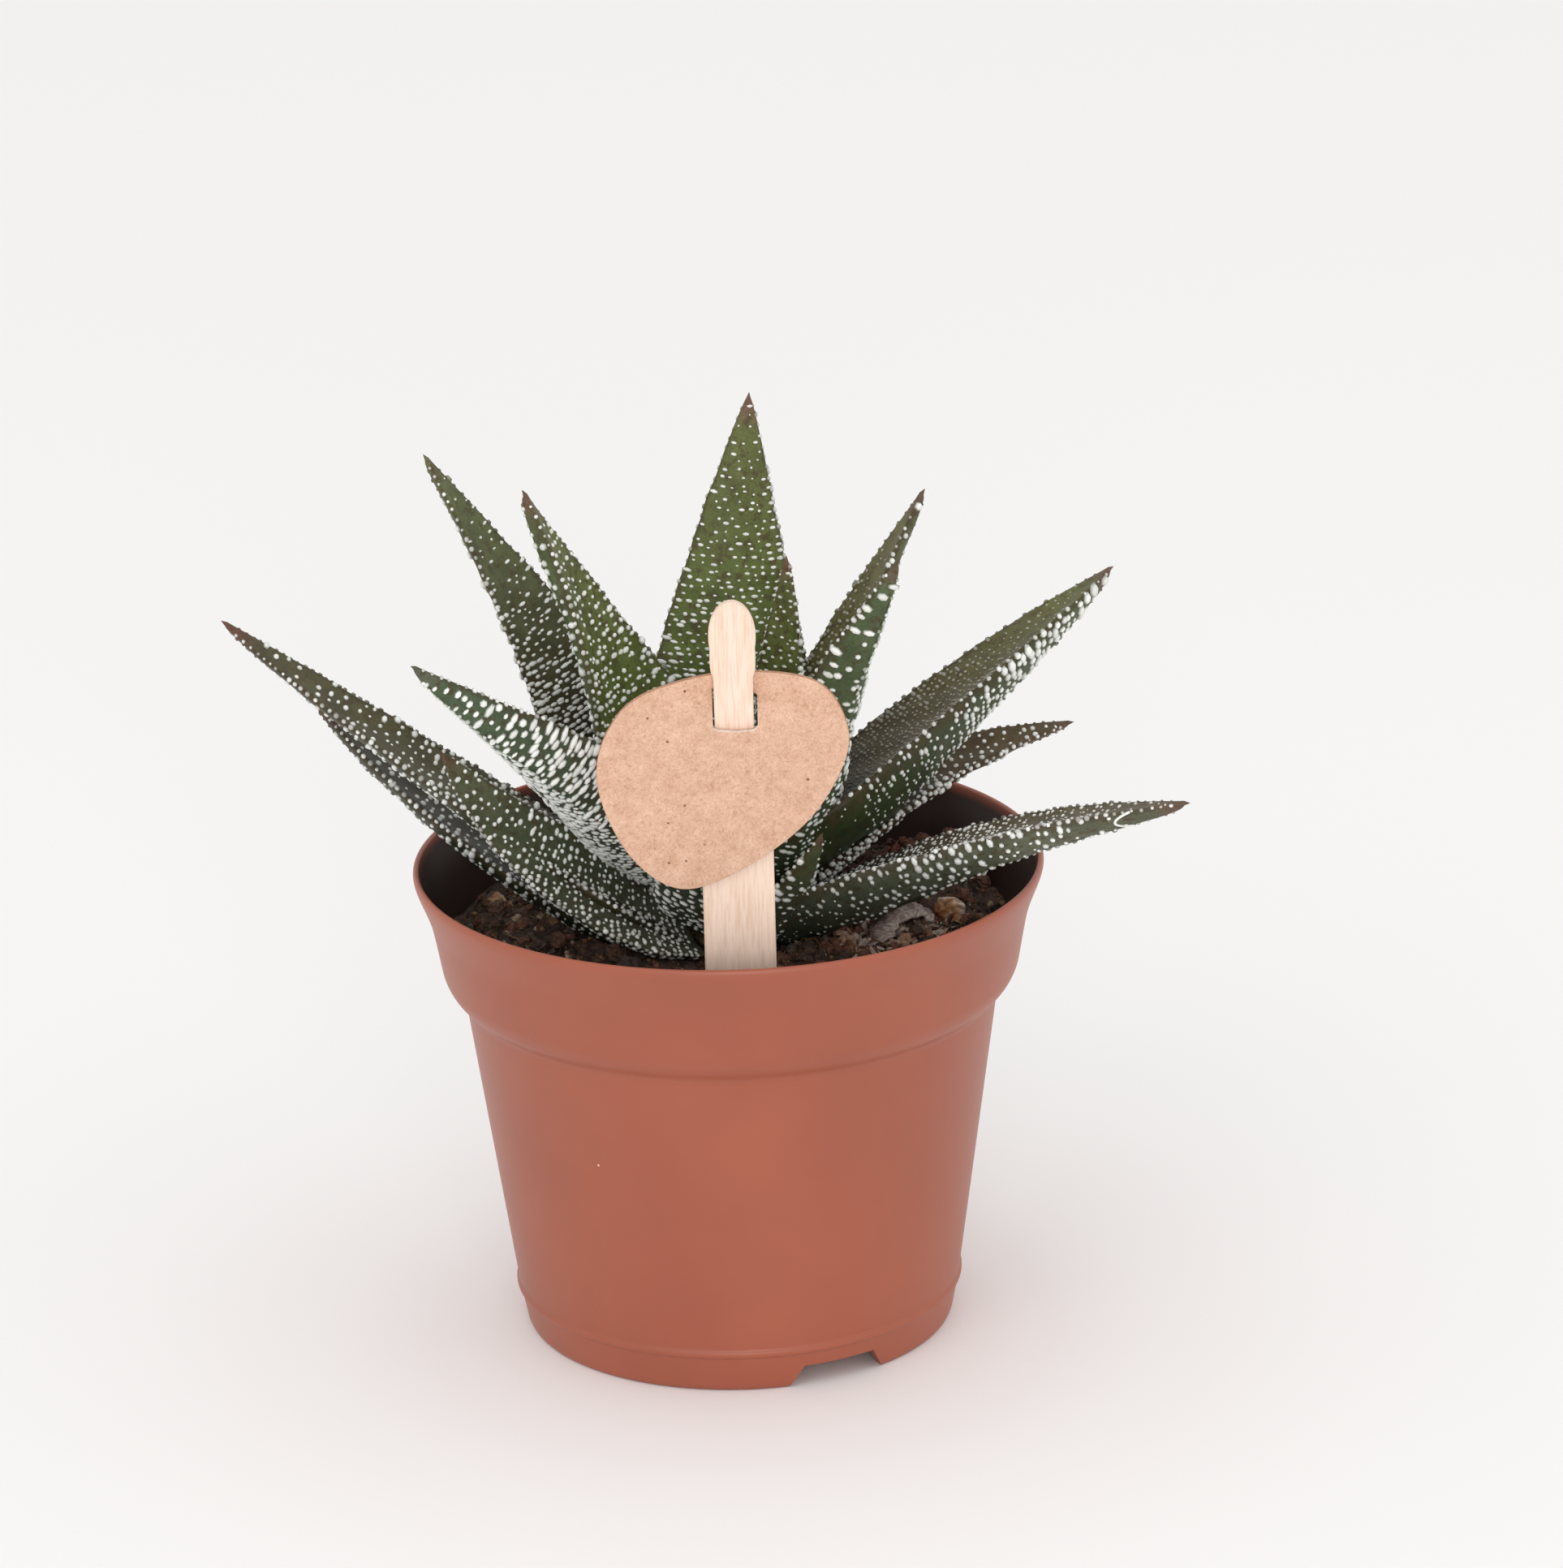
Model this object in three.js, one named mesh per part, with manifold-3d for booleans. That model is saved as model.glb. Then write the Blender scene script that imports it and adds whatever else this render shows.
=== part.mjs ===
// A small haworthia in its nursery pot: a rosette of warty pointed leaves on a short stem, peat, a wooden stick label
// and a card tag that hangs on the stick's neck. Millimetres, +Z up, the pot's foot on z = 0.
import * as THREE from "three";
import { mergeVertices } from "three/addons/utils/BufferGeometryUtils.js";
import Module from "manifold-3d";

// Clearance between neighbours that touch on the real plant.
const GAP = 0.3;

// Pot: a moulded 9 cm nursery pot with a flared lip, a deep collar and a tapering body.
const POT_HEIGHT = 69.3;
const LIP_RADIUS = 45;
const COLLAR_TOP_RADIUS = 43.3;
const COLLAR_FOOT_RADIUS = 41.2;
const COLLAR_FOOT_HEIGHT = 54.2;
const BODY_TOP_RADIUS = 38.2;
const BODY_TOP_HEIGHT = 50.6;
const RING_RADIUS = 32.2;
const RING_HEIGHT = 6.3;
const FOOT_RADIUS = 30.8;
const FOOT_WIDTH = 2.4;
const FLOOR_UNDERSIDE = 3.4;
const FLOOR_THICKNESS = 1.4;
const WALL = 1.2;
const BAND_TOP_HEIGHT = 61.5;
const FLARE_HEIGHT = 64;
const POT_SIDES = 44;
const NOTCH_BEARINGS = [-63, 117];
const NOTCH_WIDTH = 11;
const NOTCH_SLOPE = 2.6;
const DRAIN_RADIUS = 3.4;
const DRAIN_CIRCLE = 19;
const DRAINS = 4;

// Peat: its surface lies this far up the pot, with a heap against the wall at the back right.
const SOIL_HEIGHT = 58;
const SOIL_RINGS = [6.1, 12, 18, 24.5, 31, 36.5];
const SOIL_SIDES = 30;
const SOIL_ROUGHNESS = 0.8;
const HEAP = { x: 31, y: 22, rise: 5.5, spread: 6 };

// Stem: a short stump that carries every leaf, standing in a plain hole in the peat.
const STEM_RADIUS = 5.4;
const STEM_FOOT = 46;
const STEM_SHOULDER = 71;
const STEM_TOP = 74.5;

// Leaves. The section has a deep keel below and a shallow channel above. It tapers almost straight to a blunt needle.
const SECTION_SIDES = 12;
const STATION_PITCH = 4;
const MARGIN_DEPTH = 0.35;
const CHANNEL_SHARE = 0.34;
const TUBERCLE_UNDER = 0.6;
const TUBERCLE_UPPER = 0.3;
const NEEDLE_LENGTH = 0.9;
const LOW_LEAF_HEIGHT = 64;

// One row is one leaf, from the crown's centre outwards. bearing is the way it points (0 right, 90 back), footRise
// and tipRise its slope at the base and at the tip, drift its sideways bend, roll its turn about its own length at
// the base and twist the turn that it gains by the tip, all in degrees. length, width, height (where it leaves the
// stem) and inset (how near the stem's axis it starts) are in millimetres. keel is its keel's depth as a share of
// its width.
const LEAF_COLUMNS = [
  "bearing", "footRise", "tipRise", "drift", "length", "width", "keel", "roll", "twist", "height", "inset",
];
const LEAVES = [
  [60, 86, 86, 0, 31, 12, 0.3, 0, 0, 73, 1.5],
  [215, 72, 84, 0, 24, 13, 0.3, 0, 0, 72.5, 3],
  [-40, 74, 86, 0, 24, 12, 0.3, 0, 0, 72.5, 3],
  [35.5, 75, 87, 1, 42, 15, 0.36, 12, 2, 70, 4.4],
  [-43, 65.5, 55, 0, 57, 21, 0.36, -17, 22, 70.5, 5.8],
  [158, 70.4, 59.6, 14, 55.3, 23.5, 0.34, -36, 42, 71.5, 5.8],
  [88.7, 64, 72, -19.5, 63.5, 29, 0.34, 9.5, -9.5, 70, 5.8],
  [216, 42.5, 35, 3.3, 61, 21, 0.4, 48.5, -29.5, 71.5, 5.8],
  [16.5, 36.3, 17, 22, 65.2, 25.5, 0.44, -15.5, 7, 71.5, 5.8],
  [41.4, 67, 50.5, -14.6, 59, 20.5, 0.31, 4, -20.6, 65.8, 5.8],
  [148, 62.4, 54, 17.8, 76.8, 25, 0.27, -40, 34, 58.6, 5.8],
  [-57.6, 43, 52.4, 8.8, 24.8, 13.1, 0.34, 13.8, 1.7, 60.8, 5.8],
  [-100, 44, 62, 0, 38, 18, 0.3, 0, 0, 63, 5.8],
  [201, 24.8, 55.2, -30, 44.9, 22, 0.28, -15, -30, 60.8, 5.8],
  [178.5, 34.3, 34.8, -9.9, 79, 20, 0.29, 2.5, -14.6, 59.1, 5.8],
  [33, 26.4, 6, -23, 50.8, 18.5, 0.33, 9.3, 5.2, 66, 5.8],
  [58, 24, 10, 0, 46, 18, 0.3, 0, 0, 60.5, 5.8],
  [124, 26, 12, 0, 42, 19, 0.3, 0, 0, 60.5, 5.8],
  [93, 32, 6, 0, 50, 19, 0.3, 0, 0, 59, 5.8],
  [-23.3, 28.6, 6.1, 8.8, 65.9, 20.4, 0.41, -11.8, 12.5, 62.8, 5.8],
  [171.6, 23.8, 44.2, -8, 64.1, 18.8, 0.29, 3.6, -2.8, 55.5, 5.8],
].map((row) => Object.fromEntries(row.map((value, i) => [LEAF_COLUMNS[i], value])));

// Stick label: thin birch with a round head and a narrower neck, pushed into the peat just inside the front rim.
const STICK_FOOT = { x: 1.6, y: -34.1, z: SOIL_HEIGHT };
const STICK_LEAN = 4;
const STICK_THICKNESS = 1.2;
const STICK_BELOW = 30;
const STICK_ABOVE = 62.9;
const BODY_WIDTH = 9.9;
const HEAD_WIDTH = 6.5;
const HEAD_REACH = 10.4;
const HEAD_STEPS = 14;
const NECK_WIDTH = 5.4;
const NECK_LENGTH = 8.4;
const SHOULDER_LENGTH = 5;

// Card tag: a rounded three-cornered card whose slot goes over the stick's neck. It lies in front of the stick below
// the slot and behind it above, so it bends back through the slot. Its middle is this far up the stick.
const CARD_MIDDLE = { x: -1.7, z: 36.4 };
const CARD_THICKNESS = 0.9;
const CARD_REACH = 22;
const CARD_OUTLINE = [
  [-17.2, 1.5], [-14.4, 9.7], [-6, 14], [4.6, 15.3], [13.6, 13.2], [17.2, 7],
  [12.6, -4.2], [1.3, -13.2], [-6.4, -15.4], [-12.8, -10.6],
];
const CARD_OUTLINE_STEPS = 40;
const CUTTER_DEPTH = 14;
const SLOT = { left: -1.5, right: 5.2, bottom: 7.6, top: 13.4 };
const BEND = { from: 7.6, to: 13.2, steps: 6 };

// Bits on the peat: a wood chip at the left, an arched scrap of dry leaf with a chunk of bark behind it at the right,
// and a coarse lump of peat on either side.
const CHIP = { x: -34, y: 12.5, size: 4.6 };
const SCRAP = { x: 24.4, y: -1.8, radius: 5.2, stretch: 1.3, width: 4, thickness: 0.9, sweep: 165, bearing: 45 };
const LUMPS = [
  { name: "bark_chunk", x: 31.6, y: 5, size: 5.2, seed: 3 },
  { name: "peat_lump_right", x: 35.5, y: -2.5, size: 4.4, seed: 5 },
  { name: "peat_lump_left", x: -25, y: -4.5, size: 3.6, seed: 9 },
];

// The colour and roughness of each real material.
const FINISHES = {
  leaf: { color: 0x46593a, roughness: 0.55 },
  stem: { color: 0x6b5a3c, roughness: 0.8 },
  birch: { color: 0xe6c8a4, roughness: 0.7 },
  card: { color: 0xcf9f78, roughness: 0.85 },
  peat: { color: 0x33261e, roughness: 1 },
  coarsePeat: { color: 0x4a3325, roughness: 1 },
  bark: { color: 0xa07a50, roughness: 0.9 },
  dryLeaf: { color: 0x9b7a62, roughness: 0.9 },
  terracottaPlastic: { color: 0xad6450, roughness: 0.5 },
};

const wasm = await Module();
wasm.setup();

const radians = THREE.MathUtils.degToRad;

// A closed three.js geometry as a solid that can be joined and cut.
function solidOf(geometry) {
  const bare = geometry.clone();
  bare.deleteAttribute("normal");
  bare.deleteAttribute("uv");
  const merged = mergeVertices(bare, 1e-4);
  return new wasm.Manifold(
    new wasm.Mesh({
      numProp: 3,
      vertProperties: new Float32Array(merged.attributes.position.array),
      triVerts: new Uint32Array(merged.index.array),
    }),
  );
}

// A solid back as a geometry. Loose scraps that a cut leaves behind are dropped.
function geometryOf(solid) {
  const pieces = solid.decompose();
  const main = pieces.reduce((a, b) => (b.volume() > a.volume() ? b : a));
  const mesh = main.getMesh();
  const geometry = new THREE.BufferGeometry();
  geometry.setAttribute("position", new THREE.BufferAttribute(new Float32Array(mesh.vertProperties), 3));
  geometry.setIndex(new THREE.BufferAttribute(new Uint32Array(mesh.triVerts), 1));
  geometry.computeVertexNormals();
  return geometry;
}

function named(name, geometry, finish) {
  const mesh = new THREE.Mesh(geometry, new THREE.MeshStandardMaterial({ ...finish, metalness: 0 }));
  mesh.name = name;
  return mesh;
}

// A turned solid about the Z axis. The profile is a list of [radius, height], closed or ending on the axis.
function turned(profile, sides) {
  const points = profile.map(([radius, height]) => new THREE.Vector2(radius, height));
  return new THREE.LatheGeometry(points, sides).rotateX(Math.PI / 2);
}

// An upright plate of the given outline in x and z, centred on y = 0.
function plate(shape, thickness) {
  const geometry = new THREE.ExtrudeGeometry(shape, { depth: thickness, bevelEnabled: false, curveSegments: 10 });
  return geometry.translate(0, 0, -thickness / 2).rotateX(Math.PI / 2);
}

// The radius of the pot's outer body at a height below the collar.
function bodyRadius(height) {
  const share = (height - RING_HEIGHT) / (BODY_TOP_HEIGHT - RING_HEIGHT);
  return THREE.MathUtils.lerp(RING_RADIUS - 0.2, BODY_TOP_RADIUS, share);
}

// The pot's inner wall from its floor to the lip, moved in by a clearance.
function innerWall(clearance) {
  const floor = FLOOR_UNDERSIDE + FLOOR_THICKNESS + clearance;
  const inset = WALL + clearance;
  return [
    [bodyRadius(floor) - inset, floor],
    [bodyRadius(BODY_TOP_HEIGHT) - inset, BODY_TOP_HEIGHT],
    [COLLAR_FOOT_RADIUS - inset, COLLAR_FOOT_HEIGHT + 0.6],
    [COLLAR_TOP_RADIUS - inset, FLARE_HEIGHT],
  ];
}

function pot() {
  const inner = innerWall(0).reverse();
  const floorTop = FLOOR_UNDERSIDE + FLOOR_THICKNESS;
  const profile = [
    [0, FLOOR_UNDERSIDE],
    [FOOT_RADIUS - FOOT_WIDTH, FLOOR_UNDERSIDE],
    [FOOT_RADIUS - FOOT_WIDTH, 0],
    [FOOT_RADIUS - 0.6, 0],
    [FOOT_RADIUS, 0.6],
    [RING_RADIUS - 0.5, RING_HEIGHT - 0.9],
    [RING_RADIUS, RING_HEIGHT - 0.4],
    [RING_RADIUS, RING_HEIGHT + 0.1],
    [RING_RADIUS - 0.2, RING_HEIGHT + 0.5],
    [BODY_TOP_RADIUS, BODY_TOP_HEIGHT],
    [COLLAR_FOOT_RADIUS - 1, COLLAR_FOOT_HEIGHT - 1.8],
    [COLLAR_FOOT_RADIUS, COLLAR_FOOT_HEIGHT],
    [COLLAR_TOP_RADIUS - 0.8, BAND_TOP_HEIGHT],
    [COLLAR_TOP_RADIUS, FLARE_HEIGHT],
    [LIP_RADIUS - 0.2, POT_HEIGHT - 1.6],
    [LIP_RADIUS, POT_HEIGHT - 0.5],
    [LIP_RADIUS - 0.3, POT_HEIGHT],
    [LIP_RADIUS - 0.8, POT_HEIGHT],
    [LIP_RADIUS - 1.2, POT_HEIGHT - 1.4],
    ...inner,
    [0, floorTop],
  ];
  let solid = solidOf(turned(profile, POT_SIDES));
  for (const bearing of NOTCH_BEARINGS) solid = solid.subtract(footNotch(bearing));
  return solid.subtract(drains());
}

// A gap in the foot ring with sloped ends, which lets water out from under the floor.
function footNotch(bearing) {
  const half = NOTCH_WIDTH / 2;
  const shape = new THREE.Shape([
    new THREE.Vector2(-half - NOTCH_SLOPE, -1),
    new THREE.Vector2(half + NOTCH_SLOPE, -1),
    new THREE.Vector2(half, FLOOR_UNDERSIDE),
    new THREE.Vector2(-half, FLOOR_UNDERSIDE),
  ]);
  const depth = FOOT_WIDTH + 6;
  const cutter = new THREE.ExtrudeGeometry(shape, { depth, bevelEnabled: false });
  cutter.rotateX(Math.PI / 2).rotateZ(Math.PI / 2);
  cutter.translate(FOOT_RADIUS - depth / 2 - 1, 0, 0).rotateZ(radians(bearing));
  return solidOf(cutter);
}

function drains() {
  const height = FLOOR_THICKNESS + 2;
  const holes = [];
  for (let i = 0; i < DRAINS; i++) {
    const angle = (Math.PI * 2 * (i + 0.5)) / DRAINS;
    const hole = new THREE.CylinderGeometry(DRAIN_RADIUS, DRAIN_RADIUS, height, 12).rotateX(Math.PI / 2);
    hole.translate(DRAIN_CIRCLE * Math.cos(angle), DRAIN_CIRCLE * Math.sin(angle), FLOOR_UNDERSIDE + 1);
    holes.push(solidOf(hole));
  }
  return wasm.Manifold.union(holes);
}

// The height of the peat's surface, a little hollow at the stem and uneven everywhere.
function soilSurface(x, y) {
  const radius = Math.hypot(x, y);
  const waves =
    Math.sin(0.31 * x + 1.3) * Math.cos(0.27 * y - 0.4) +
    0.7 * Math.sin(0.62 * x - 0.5 * y + 2.1) +
    0.5 * Math.sin(0.95 * y + 0.4 * x);
  const heap = HEAP.rise * Math.exp(-((x - HEAP.x) ** 2 + (y - HEAP.y) ** 2) / (2 * HEAP.spread ** 2));
  const hollow = 1.2 * THREE.MathUtils.clamp((14 - radius) / 8, 0, 1);
  return SOIL_HEIGHT + SOIL_ROUGHNESS * 0.6 * waves + heap - hollow;
}

// The peat fills the pot up to its uneven surface, with a hole for the stem. lift raises the surface alone.
function soil(lift) {
  const wall = innerWall(GAP);
  const holeFloor = STEM_FOOT - GAP;
  const profile = [[0, wall[0][1]], wall[0], wall[1], wall[2], [COLLAR_FOOT_RADIUS - WALL - GAP + 0.6, SOIL_HEIGHT]];
  for (const radius of [...SOIL_RINGS].reverse()) profile.push([radius, SOIL_HEIGHT]);
  profile.push([SOIL_RINGS[0], holeFloor], [0, holeFloor]);
  const geometry = turned(profile, SOIL_SIDES);
  const at = geometry.attributes.position;
  for (let i = 0; i < at.count; i++) {
    if (Math.abs(at.getZ(i) - SOIL_HEIGHT) < 1e-3) at.setZ(i, soilSurface(at.getX(i), at.getY(i)) + lift);
  }
  return solidOf(geometry);
}

function stem() {
  const profile = [
    [0, STEM_FOOT],
    [STEM_RADIUS * 0.7, STEM_FOOT],
    [STEM_RADIUS, STEM_FOOT + 2],
    [STEM_RADIUS, STEM_SHOULDER - 3],
    [STEM_RADIUS * 0.55, STEM_SHOULDER],
    [0.8, STEM_TOP],
    [0, STEM_TOP],
  ];
  return turned(profile, 14);
}

// The leaf's spine: where it runs, and the side and upward directions of its section, at each station.
function spine(leaf) {
  const count = Math.round(leaf.length / STATION_PITCH);
  const point = new THREE.Vector3(
    leaf.inset * Math.cos(radians(leaf.bearing)),
    leaf.inset * Math.sin(radians(leaf.bearing)),
    leaf.height,
  );
  const stations = [];
  let before = null;
  for (let i = 0; i <= count; i++) {
    const t = i / count;
    const rise = radians(THREE.MathUtils.lerp(leaf.footRise, leaf.tipRise, t ** 1.3));
    const bearing = radians(leaf.bearing + leaf.drift * t);
    const along = new THREE.Vector3(
      Math.cos(rise) * Math.cos(bearing),
      Math.cos(rise) * Math.sin(bearing),
      Math.sin(rise),
    );
    if (before) point.addScaledVector(before.clone().add(along), leaf.length / count / 2);
    const level = new THREE.Vector3(-Math.sin(bearing), Math.cos(bearing), 0);
    const turn = radians(leaf.roll + leaf.twist * t);
    const side = level.clone().applyAxisAngle(along, turn);
    stations.push({ t, point: point.clone(), side, up: along.clone().cross(side), along });
    before = along;
  }
  return stations;
}

// Half the leaf's width at t, from its clasping base (0) to its tip (1).
function halfWidth(leaf, t) {
  const clasp = 0.8 + 0.2 * Math.min(t / 0.2, 1) ** 0.8;
  const taper = Math.min(((1 - t) / 0.86) ** 0.88, 1);
  return 0.35 + (leaf.width / 2) * clasp * taper;
}

// How deep the keel hangs below the leaf's margins at t, and how deep its upper face is channelled there.
function sectionDepths(leaf, t) {
  const rest = Math.max(1 - t, 0);
  const body = leaf.keel * leaf.width * rest ** 0.6 * (0.7 + 0.3 * Math.min(t / 0.25, 1));
  return { keel: MARGIN_DEPTH + body, channel: CHANNEL_SHARE * body * rest ** 0.3 };
}

// One point of the leaf's section in its own plane. Each raised point stands for the warts round it. A grown section
// is widened and lifted a little more at its margins, where the channelled face leans inwards.
function sectionPoint(leaf, t, angle, raised, grow) {
  const { keel, channel } = sectionDepths(leaf, t);
  const c = Math.cos(angle);
  const s = Math.sin(angle);
  const envelope = Math.min(t / 0.12, 1) * Math.min((1 - t) / 0.2, 1);
  const height = s > 0.1 ? TUBERCLE_UPPER : TUBERCLE_UNDER;
  const out = grow + (raised ? height * envelope : 0);
  const x = (halfWidth(leaf, t) + out + 0.5 * grow) * c;
  const across = Math.abs(c);
  const above = (MARGIN_DEPTH + out) * s - channel * (1 - across ** 1.6) + grow * across;
  const below = out * s - keel * 0.5 * (1 - s - across);
  return [x, s > -0.01 ? above : below];
}

// The whole leaf, before any cut. A grown one is larger all round by that much, to cut its room out of a neighbour.
function leafSolid(leaf, grow) {
  const stations = spine(leaf);
  if (grow > 0) {
    const first = stations[0];
    stations.unshift({ ...first, point: first.point.clone().addScaledVector(first.along, -grow) });
  }
  const parity = grow > 0 ? 1 : 0;
  const sides = SECTION_SIDES;
  const points = [];
  stations.forEach(({ t, point, side, up }, i) => {
    for (let j = 0; j < sides; j++) {
      const [x, y] = sectionPoint(leaf, t, (Math.PI * 2 * j) / sides, (i + j + parity) % 2 === 0, grow);
      points.push(point.clone().addScaledVector(side, x).addScaledVector(up, y));
    }
  });
  const last = stations.length - 1;
  const faces = [];
  for (let i = 0; i < last; i++) {
    for (let j = 0; j < sides; j++) {
      const k = (j + 1) % sides;
      const [a, b, c, d] = [i * sides + j, i * sides + k, (i + 1) * sides + k, (i + 1) * sides + j];
      if ((i + j + parity) % 2 === 0) faces.push(a, b, d, b, c, d);
      else faces.push(a, b, c, a, c, d);
    }
  }
  const { keel, channel } = sectionDepths(leaf, 0);
  const depth = (keel + channel) / 2;
  const root = points.push(stations[0].point.clone().addScaledVector(stations[0].up, -depth)) - 1;
  const reach = NEEDLE_LENGTH + grow;
  const tip = points.push(stations[last].point.clone().addScaledVector(stations[last].along, reach)) - 1;
  for (let j = 0; j < sides; j++) {
    const k = (j + 1) % sides;
    faces.push(root, k, j, tip, last * sides + j, last * sides + k);
  }
  const geometry = new THREE.BufferGeometry().setFromPoints(points);
  geometry.setIndex(faces);
  return solidOf(geometry);
}

// Every leaf, each cut back from the stem and from the leaves nearer the centre that its base wraps round.
function leaves(stemSolid) {
  const taken = [stemSolid];
  return LEAVES.map((leaf, i) => {
    const body = leafSolid(leaf, 0).subtract(wasm.Manifold.union(taken));
    taken.push(leafSolid(leaf, GAP));
    const name = "leaf_" + String(i + 1).padStart(2, "0");
    return named(name, geometryOf(body), FINISHES.leaf);
  });
}

function stickShape(grow) {
  const head = STICK_ABOVE - HEAD_REACH / 2 + grow;
  const neckFoot = STICK_ABOVE - HEAD_REACH - NECK_LENGTH;
  const [body, neck] = [BODY_WIDTH / 2 + grow, NECK_WIDTH / 2 + grow];
  const shape = new THREE.Shape();
  shape.moveTo(-body + 1.5, -STICK_BELOW - grow);
  shape.lineTo(body - 1.5, -STICK_BELOW - grow);
  shape.lineTo(body, -STICK_BELOW + 2);
  shape.lineTo(body, neckFoot - SHOULDER_LENGTH);
  shape.quadraticCurveTo(body, neckFoot, neck, neckFoot);
  shape.lineTo(neck, neckFoot + NECK_LENGTH - 1);
  const start = -Math.acos(NECK_WIDTH / HEAD_WIDTH);
  for (let i = 0; i <= HEAD_STEPS; i++) {
    const angle = THREE.MathUtils.lerp(start, Math.PI - start, i / HEAD_STEPS);
    shape.lineTo((HEAD_WIDTH / 2 + grow) * Math.cos(angle), head + (HEAD_REACH / 2) * Math.sin(angle));
  }
  shape.lineTo(-neck, neckFoot + NECK_LENGTH - 1);
  shape.lineTo(-neck, neckFoot);
  shape.quadraticCurveTo(-body, neckFoot, -body, neckFoot - SHOULDER_LENGTH);
  shape.lineTo(-body, -STICK_BELOW + 2);
  return shape;
}

// How far behind its lower part the card lies at a height above its middle.
function cardSetback(height) {
  const reach = STICK_THICKNESS + CARD_THICKNESS + 2 * GAP;
  return reach * THREE.MathUtils.smoothstep(height, BEND.from, BEND.to);
}

function card() {
  const corners = CARD_OUTLINE.map(([x, z]) => new THREE.Vector3(x, z, 0));
  const curve = new THREE.CatmullRomCurve3(corners, true, "centripetal");
  const outline = curve.getPoints(CARD_OUTLINE_STEPS).slice(0, -1);
  const outlineShape = new THREE.Shape(outline.map((p) => new THREE.Vector2(p.x, p.y)));
  const heights = [-CARD_REACH];
  for (let i = 0; i <= BEND.steps; i++) heights.push(THREE.MathUtils.lerp(BEND.from, BEND.to, i / BEND.steps));
  heights.push(CARD_REACH);
  const front = heights.map((z) => new THREE.Vector2(cardSetback(z) - CARD_THICKNESS / 2, z));
  const back = heights.map((z) => new THREE.Vector2(cardSetback(z) + CARD_THICKNESS / 2, z)).reverse();
  const options = { depth: 2 * CARD_REACH, bevelEnabled: false };
  const sheet = new THREE.ExtrudeGeometry(new THREE.Shape([...front, ...back]), options);
  sheet.translate(0, 0, -CARD_REACH).rotateX(Math.PI / 2).rotateZ(Math.PI / 2);
  const slotShape = new THREE.Shape([
    new THREE.Vector2(SLOT.left, SLOT.bottom + 0.5),
    new THREE.Vector2(SLOT.right, SLOT.bottom),
    new THREE.Vector2(SLOT.right, SLOT.top - 1.2),
    new THREE.Vector2(SLOT.right - 1.2, SLOT.top),
    new THREE.Vector2(SLOT.left, SLOT.top),
  ]);
  const outlineCutter = solidOf(plate(outlineShape, CUTTER_DEPTH));
  return solidOf(sheet).intersect(outlineCutter).subtract(solidOf(plate(slotShape, CUTTER_DEPTH)));
}

// A lump: a sphere pressed and dented by a seeded formula.
function lump(size, seed) {
  const geometry = new THREE.IcosahedronGeometry(size / 2, 1);
  geometry.deleteAttribute("normal");
  geometry.deleteAttribute("uv");
  const whole = mergeVertices(geometry, 1e-4);
  const at = whole.attributes.position;
  for (let i = 0; i < at.count; i++) {
    const p = new THREE.Vector3().fromBufferAttribute(at, i);
    const dents = 0.22 * Math.sin(seed + 2.3 * p.x) * Math.cos(1.9 * p.y - seed) + 0.12 * Math.sin(3.1 * p.z + seed);
    p.multiplyScalar(1 + dents);
    at.setXYZ(i, p.x, p.y, p.z * 0.7);
  }
  return whole;
}

// The dry scrap: an arched ribbon that stands on the peat on its two ends.
function scrap() {
  const rim = [];
  const steps = 10;
  const sweep = radians(SCRAP.sweep);
  for (let i = 0; i <= steps; i++) {
    const angle = (Math.PI - sweep) / 2 + (sweep * i) / steps;
    rim.push([Math.cos(angle) * SCRAP.stretch, Math.sin(angle)]);
  }
  const outer = rim.map(([x, z]) => new THREE.Vector2(x * SCRAP.radius, z * SCRAP.radius));
  const inside = SCRAP.radius - SCRAP.thickness;
  const inner = rim.map(([x, z]) => new THREE.Vector2(x * inside, z * inside)).reverse();
  const geometry = plate(new THREE.Shape([...outer, ...inner]), SCRAP.width);
  return geometry.rotateZ(radians(SCRAP.bearing)).translate(SCRAP.x, SCRAP.y, SOIL_HEIGHT - 1.2);
}

const plant = new THREE.Group();

const stemGeometry = stem();
const stemRoom = stemGeometry.clone().scale(1 + GAP / STEM_RADIUS, 1 + GAP / STEM_RADIUS, 1);
const leafMeshes = leaves(solidOf(stemRoom));
plant.add(named("stem", stemGeometry, FINISHES.stem));
plant.add(...leafMeshes);

// The stick and its card share one leaning frame, whose origin is where the stick enters the peat.
const label = new THREE.Group();
label.position.set(STICK_FOOT.x, STICK_FOOT.y, STICK_FOOT.z);
label.rotation.x = radians(STICK_LEAN);
label.add(named("wooden_stick", plate(stickShape(0), STICK_THICKNESS), FINISHES.birch));
const cardMesh = named("card_tag", geometryOf(card()), FINISHES.card);
const cardForward = STICK_THICKNESS / 2 + CARD_THICKNESS / 2 + GAP;
cardMesh.position.set(CARD_MIDDLE.x, -cardForward, CARD_MIDDLE.z);
label.add(cardMesh);
plant.add(label);
label.updateMatrixWorld(true);

// The peat is cut back from the stick and from the leaves that lie on it, and the bits on it are cut back from it.
const stickRoom = plate(stickShape(GAP), STICK_THICKNESS + 2 * GAP).applyMatrix4(label.matrixWorld);
const leafRoom = LEAVES.filter((leaf) => leaf.height < LOW_LEAF_HEIGHT).map((leaf) => leafSolid(leaf, GAP));
const peat = soil(0).subtract(solidOf(stickRoom)).subtract(wasm.Manifold.union(leafRoom));
const raisedPeat = soil(GAP);
plant.add(named("soil", geometryOf(peat), FINISHES.peat));

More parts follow.
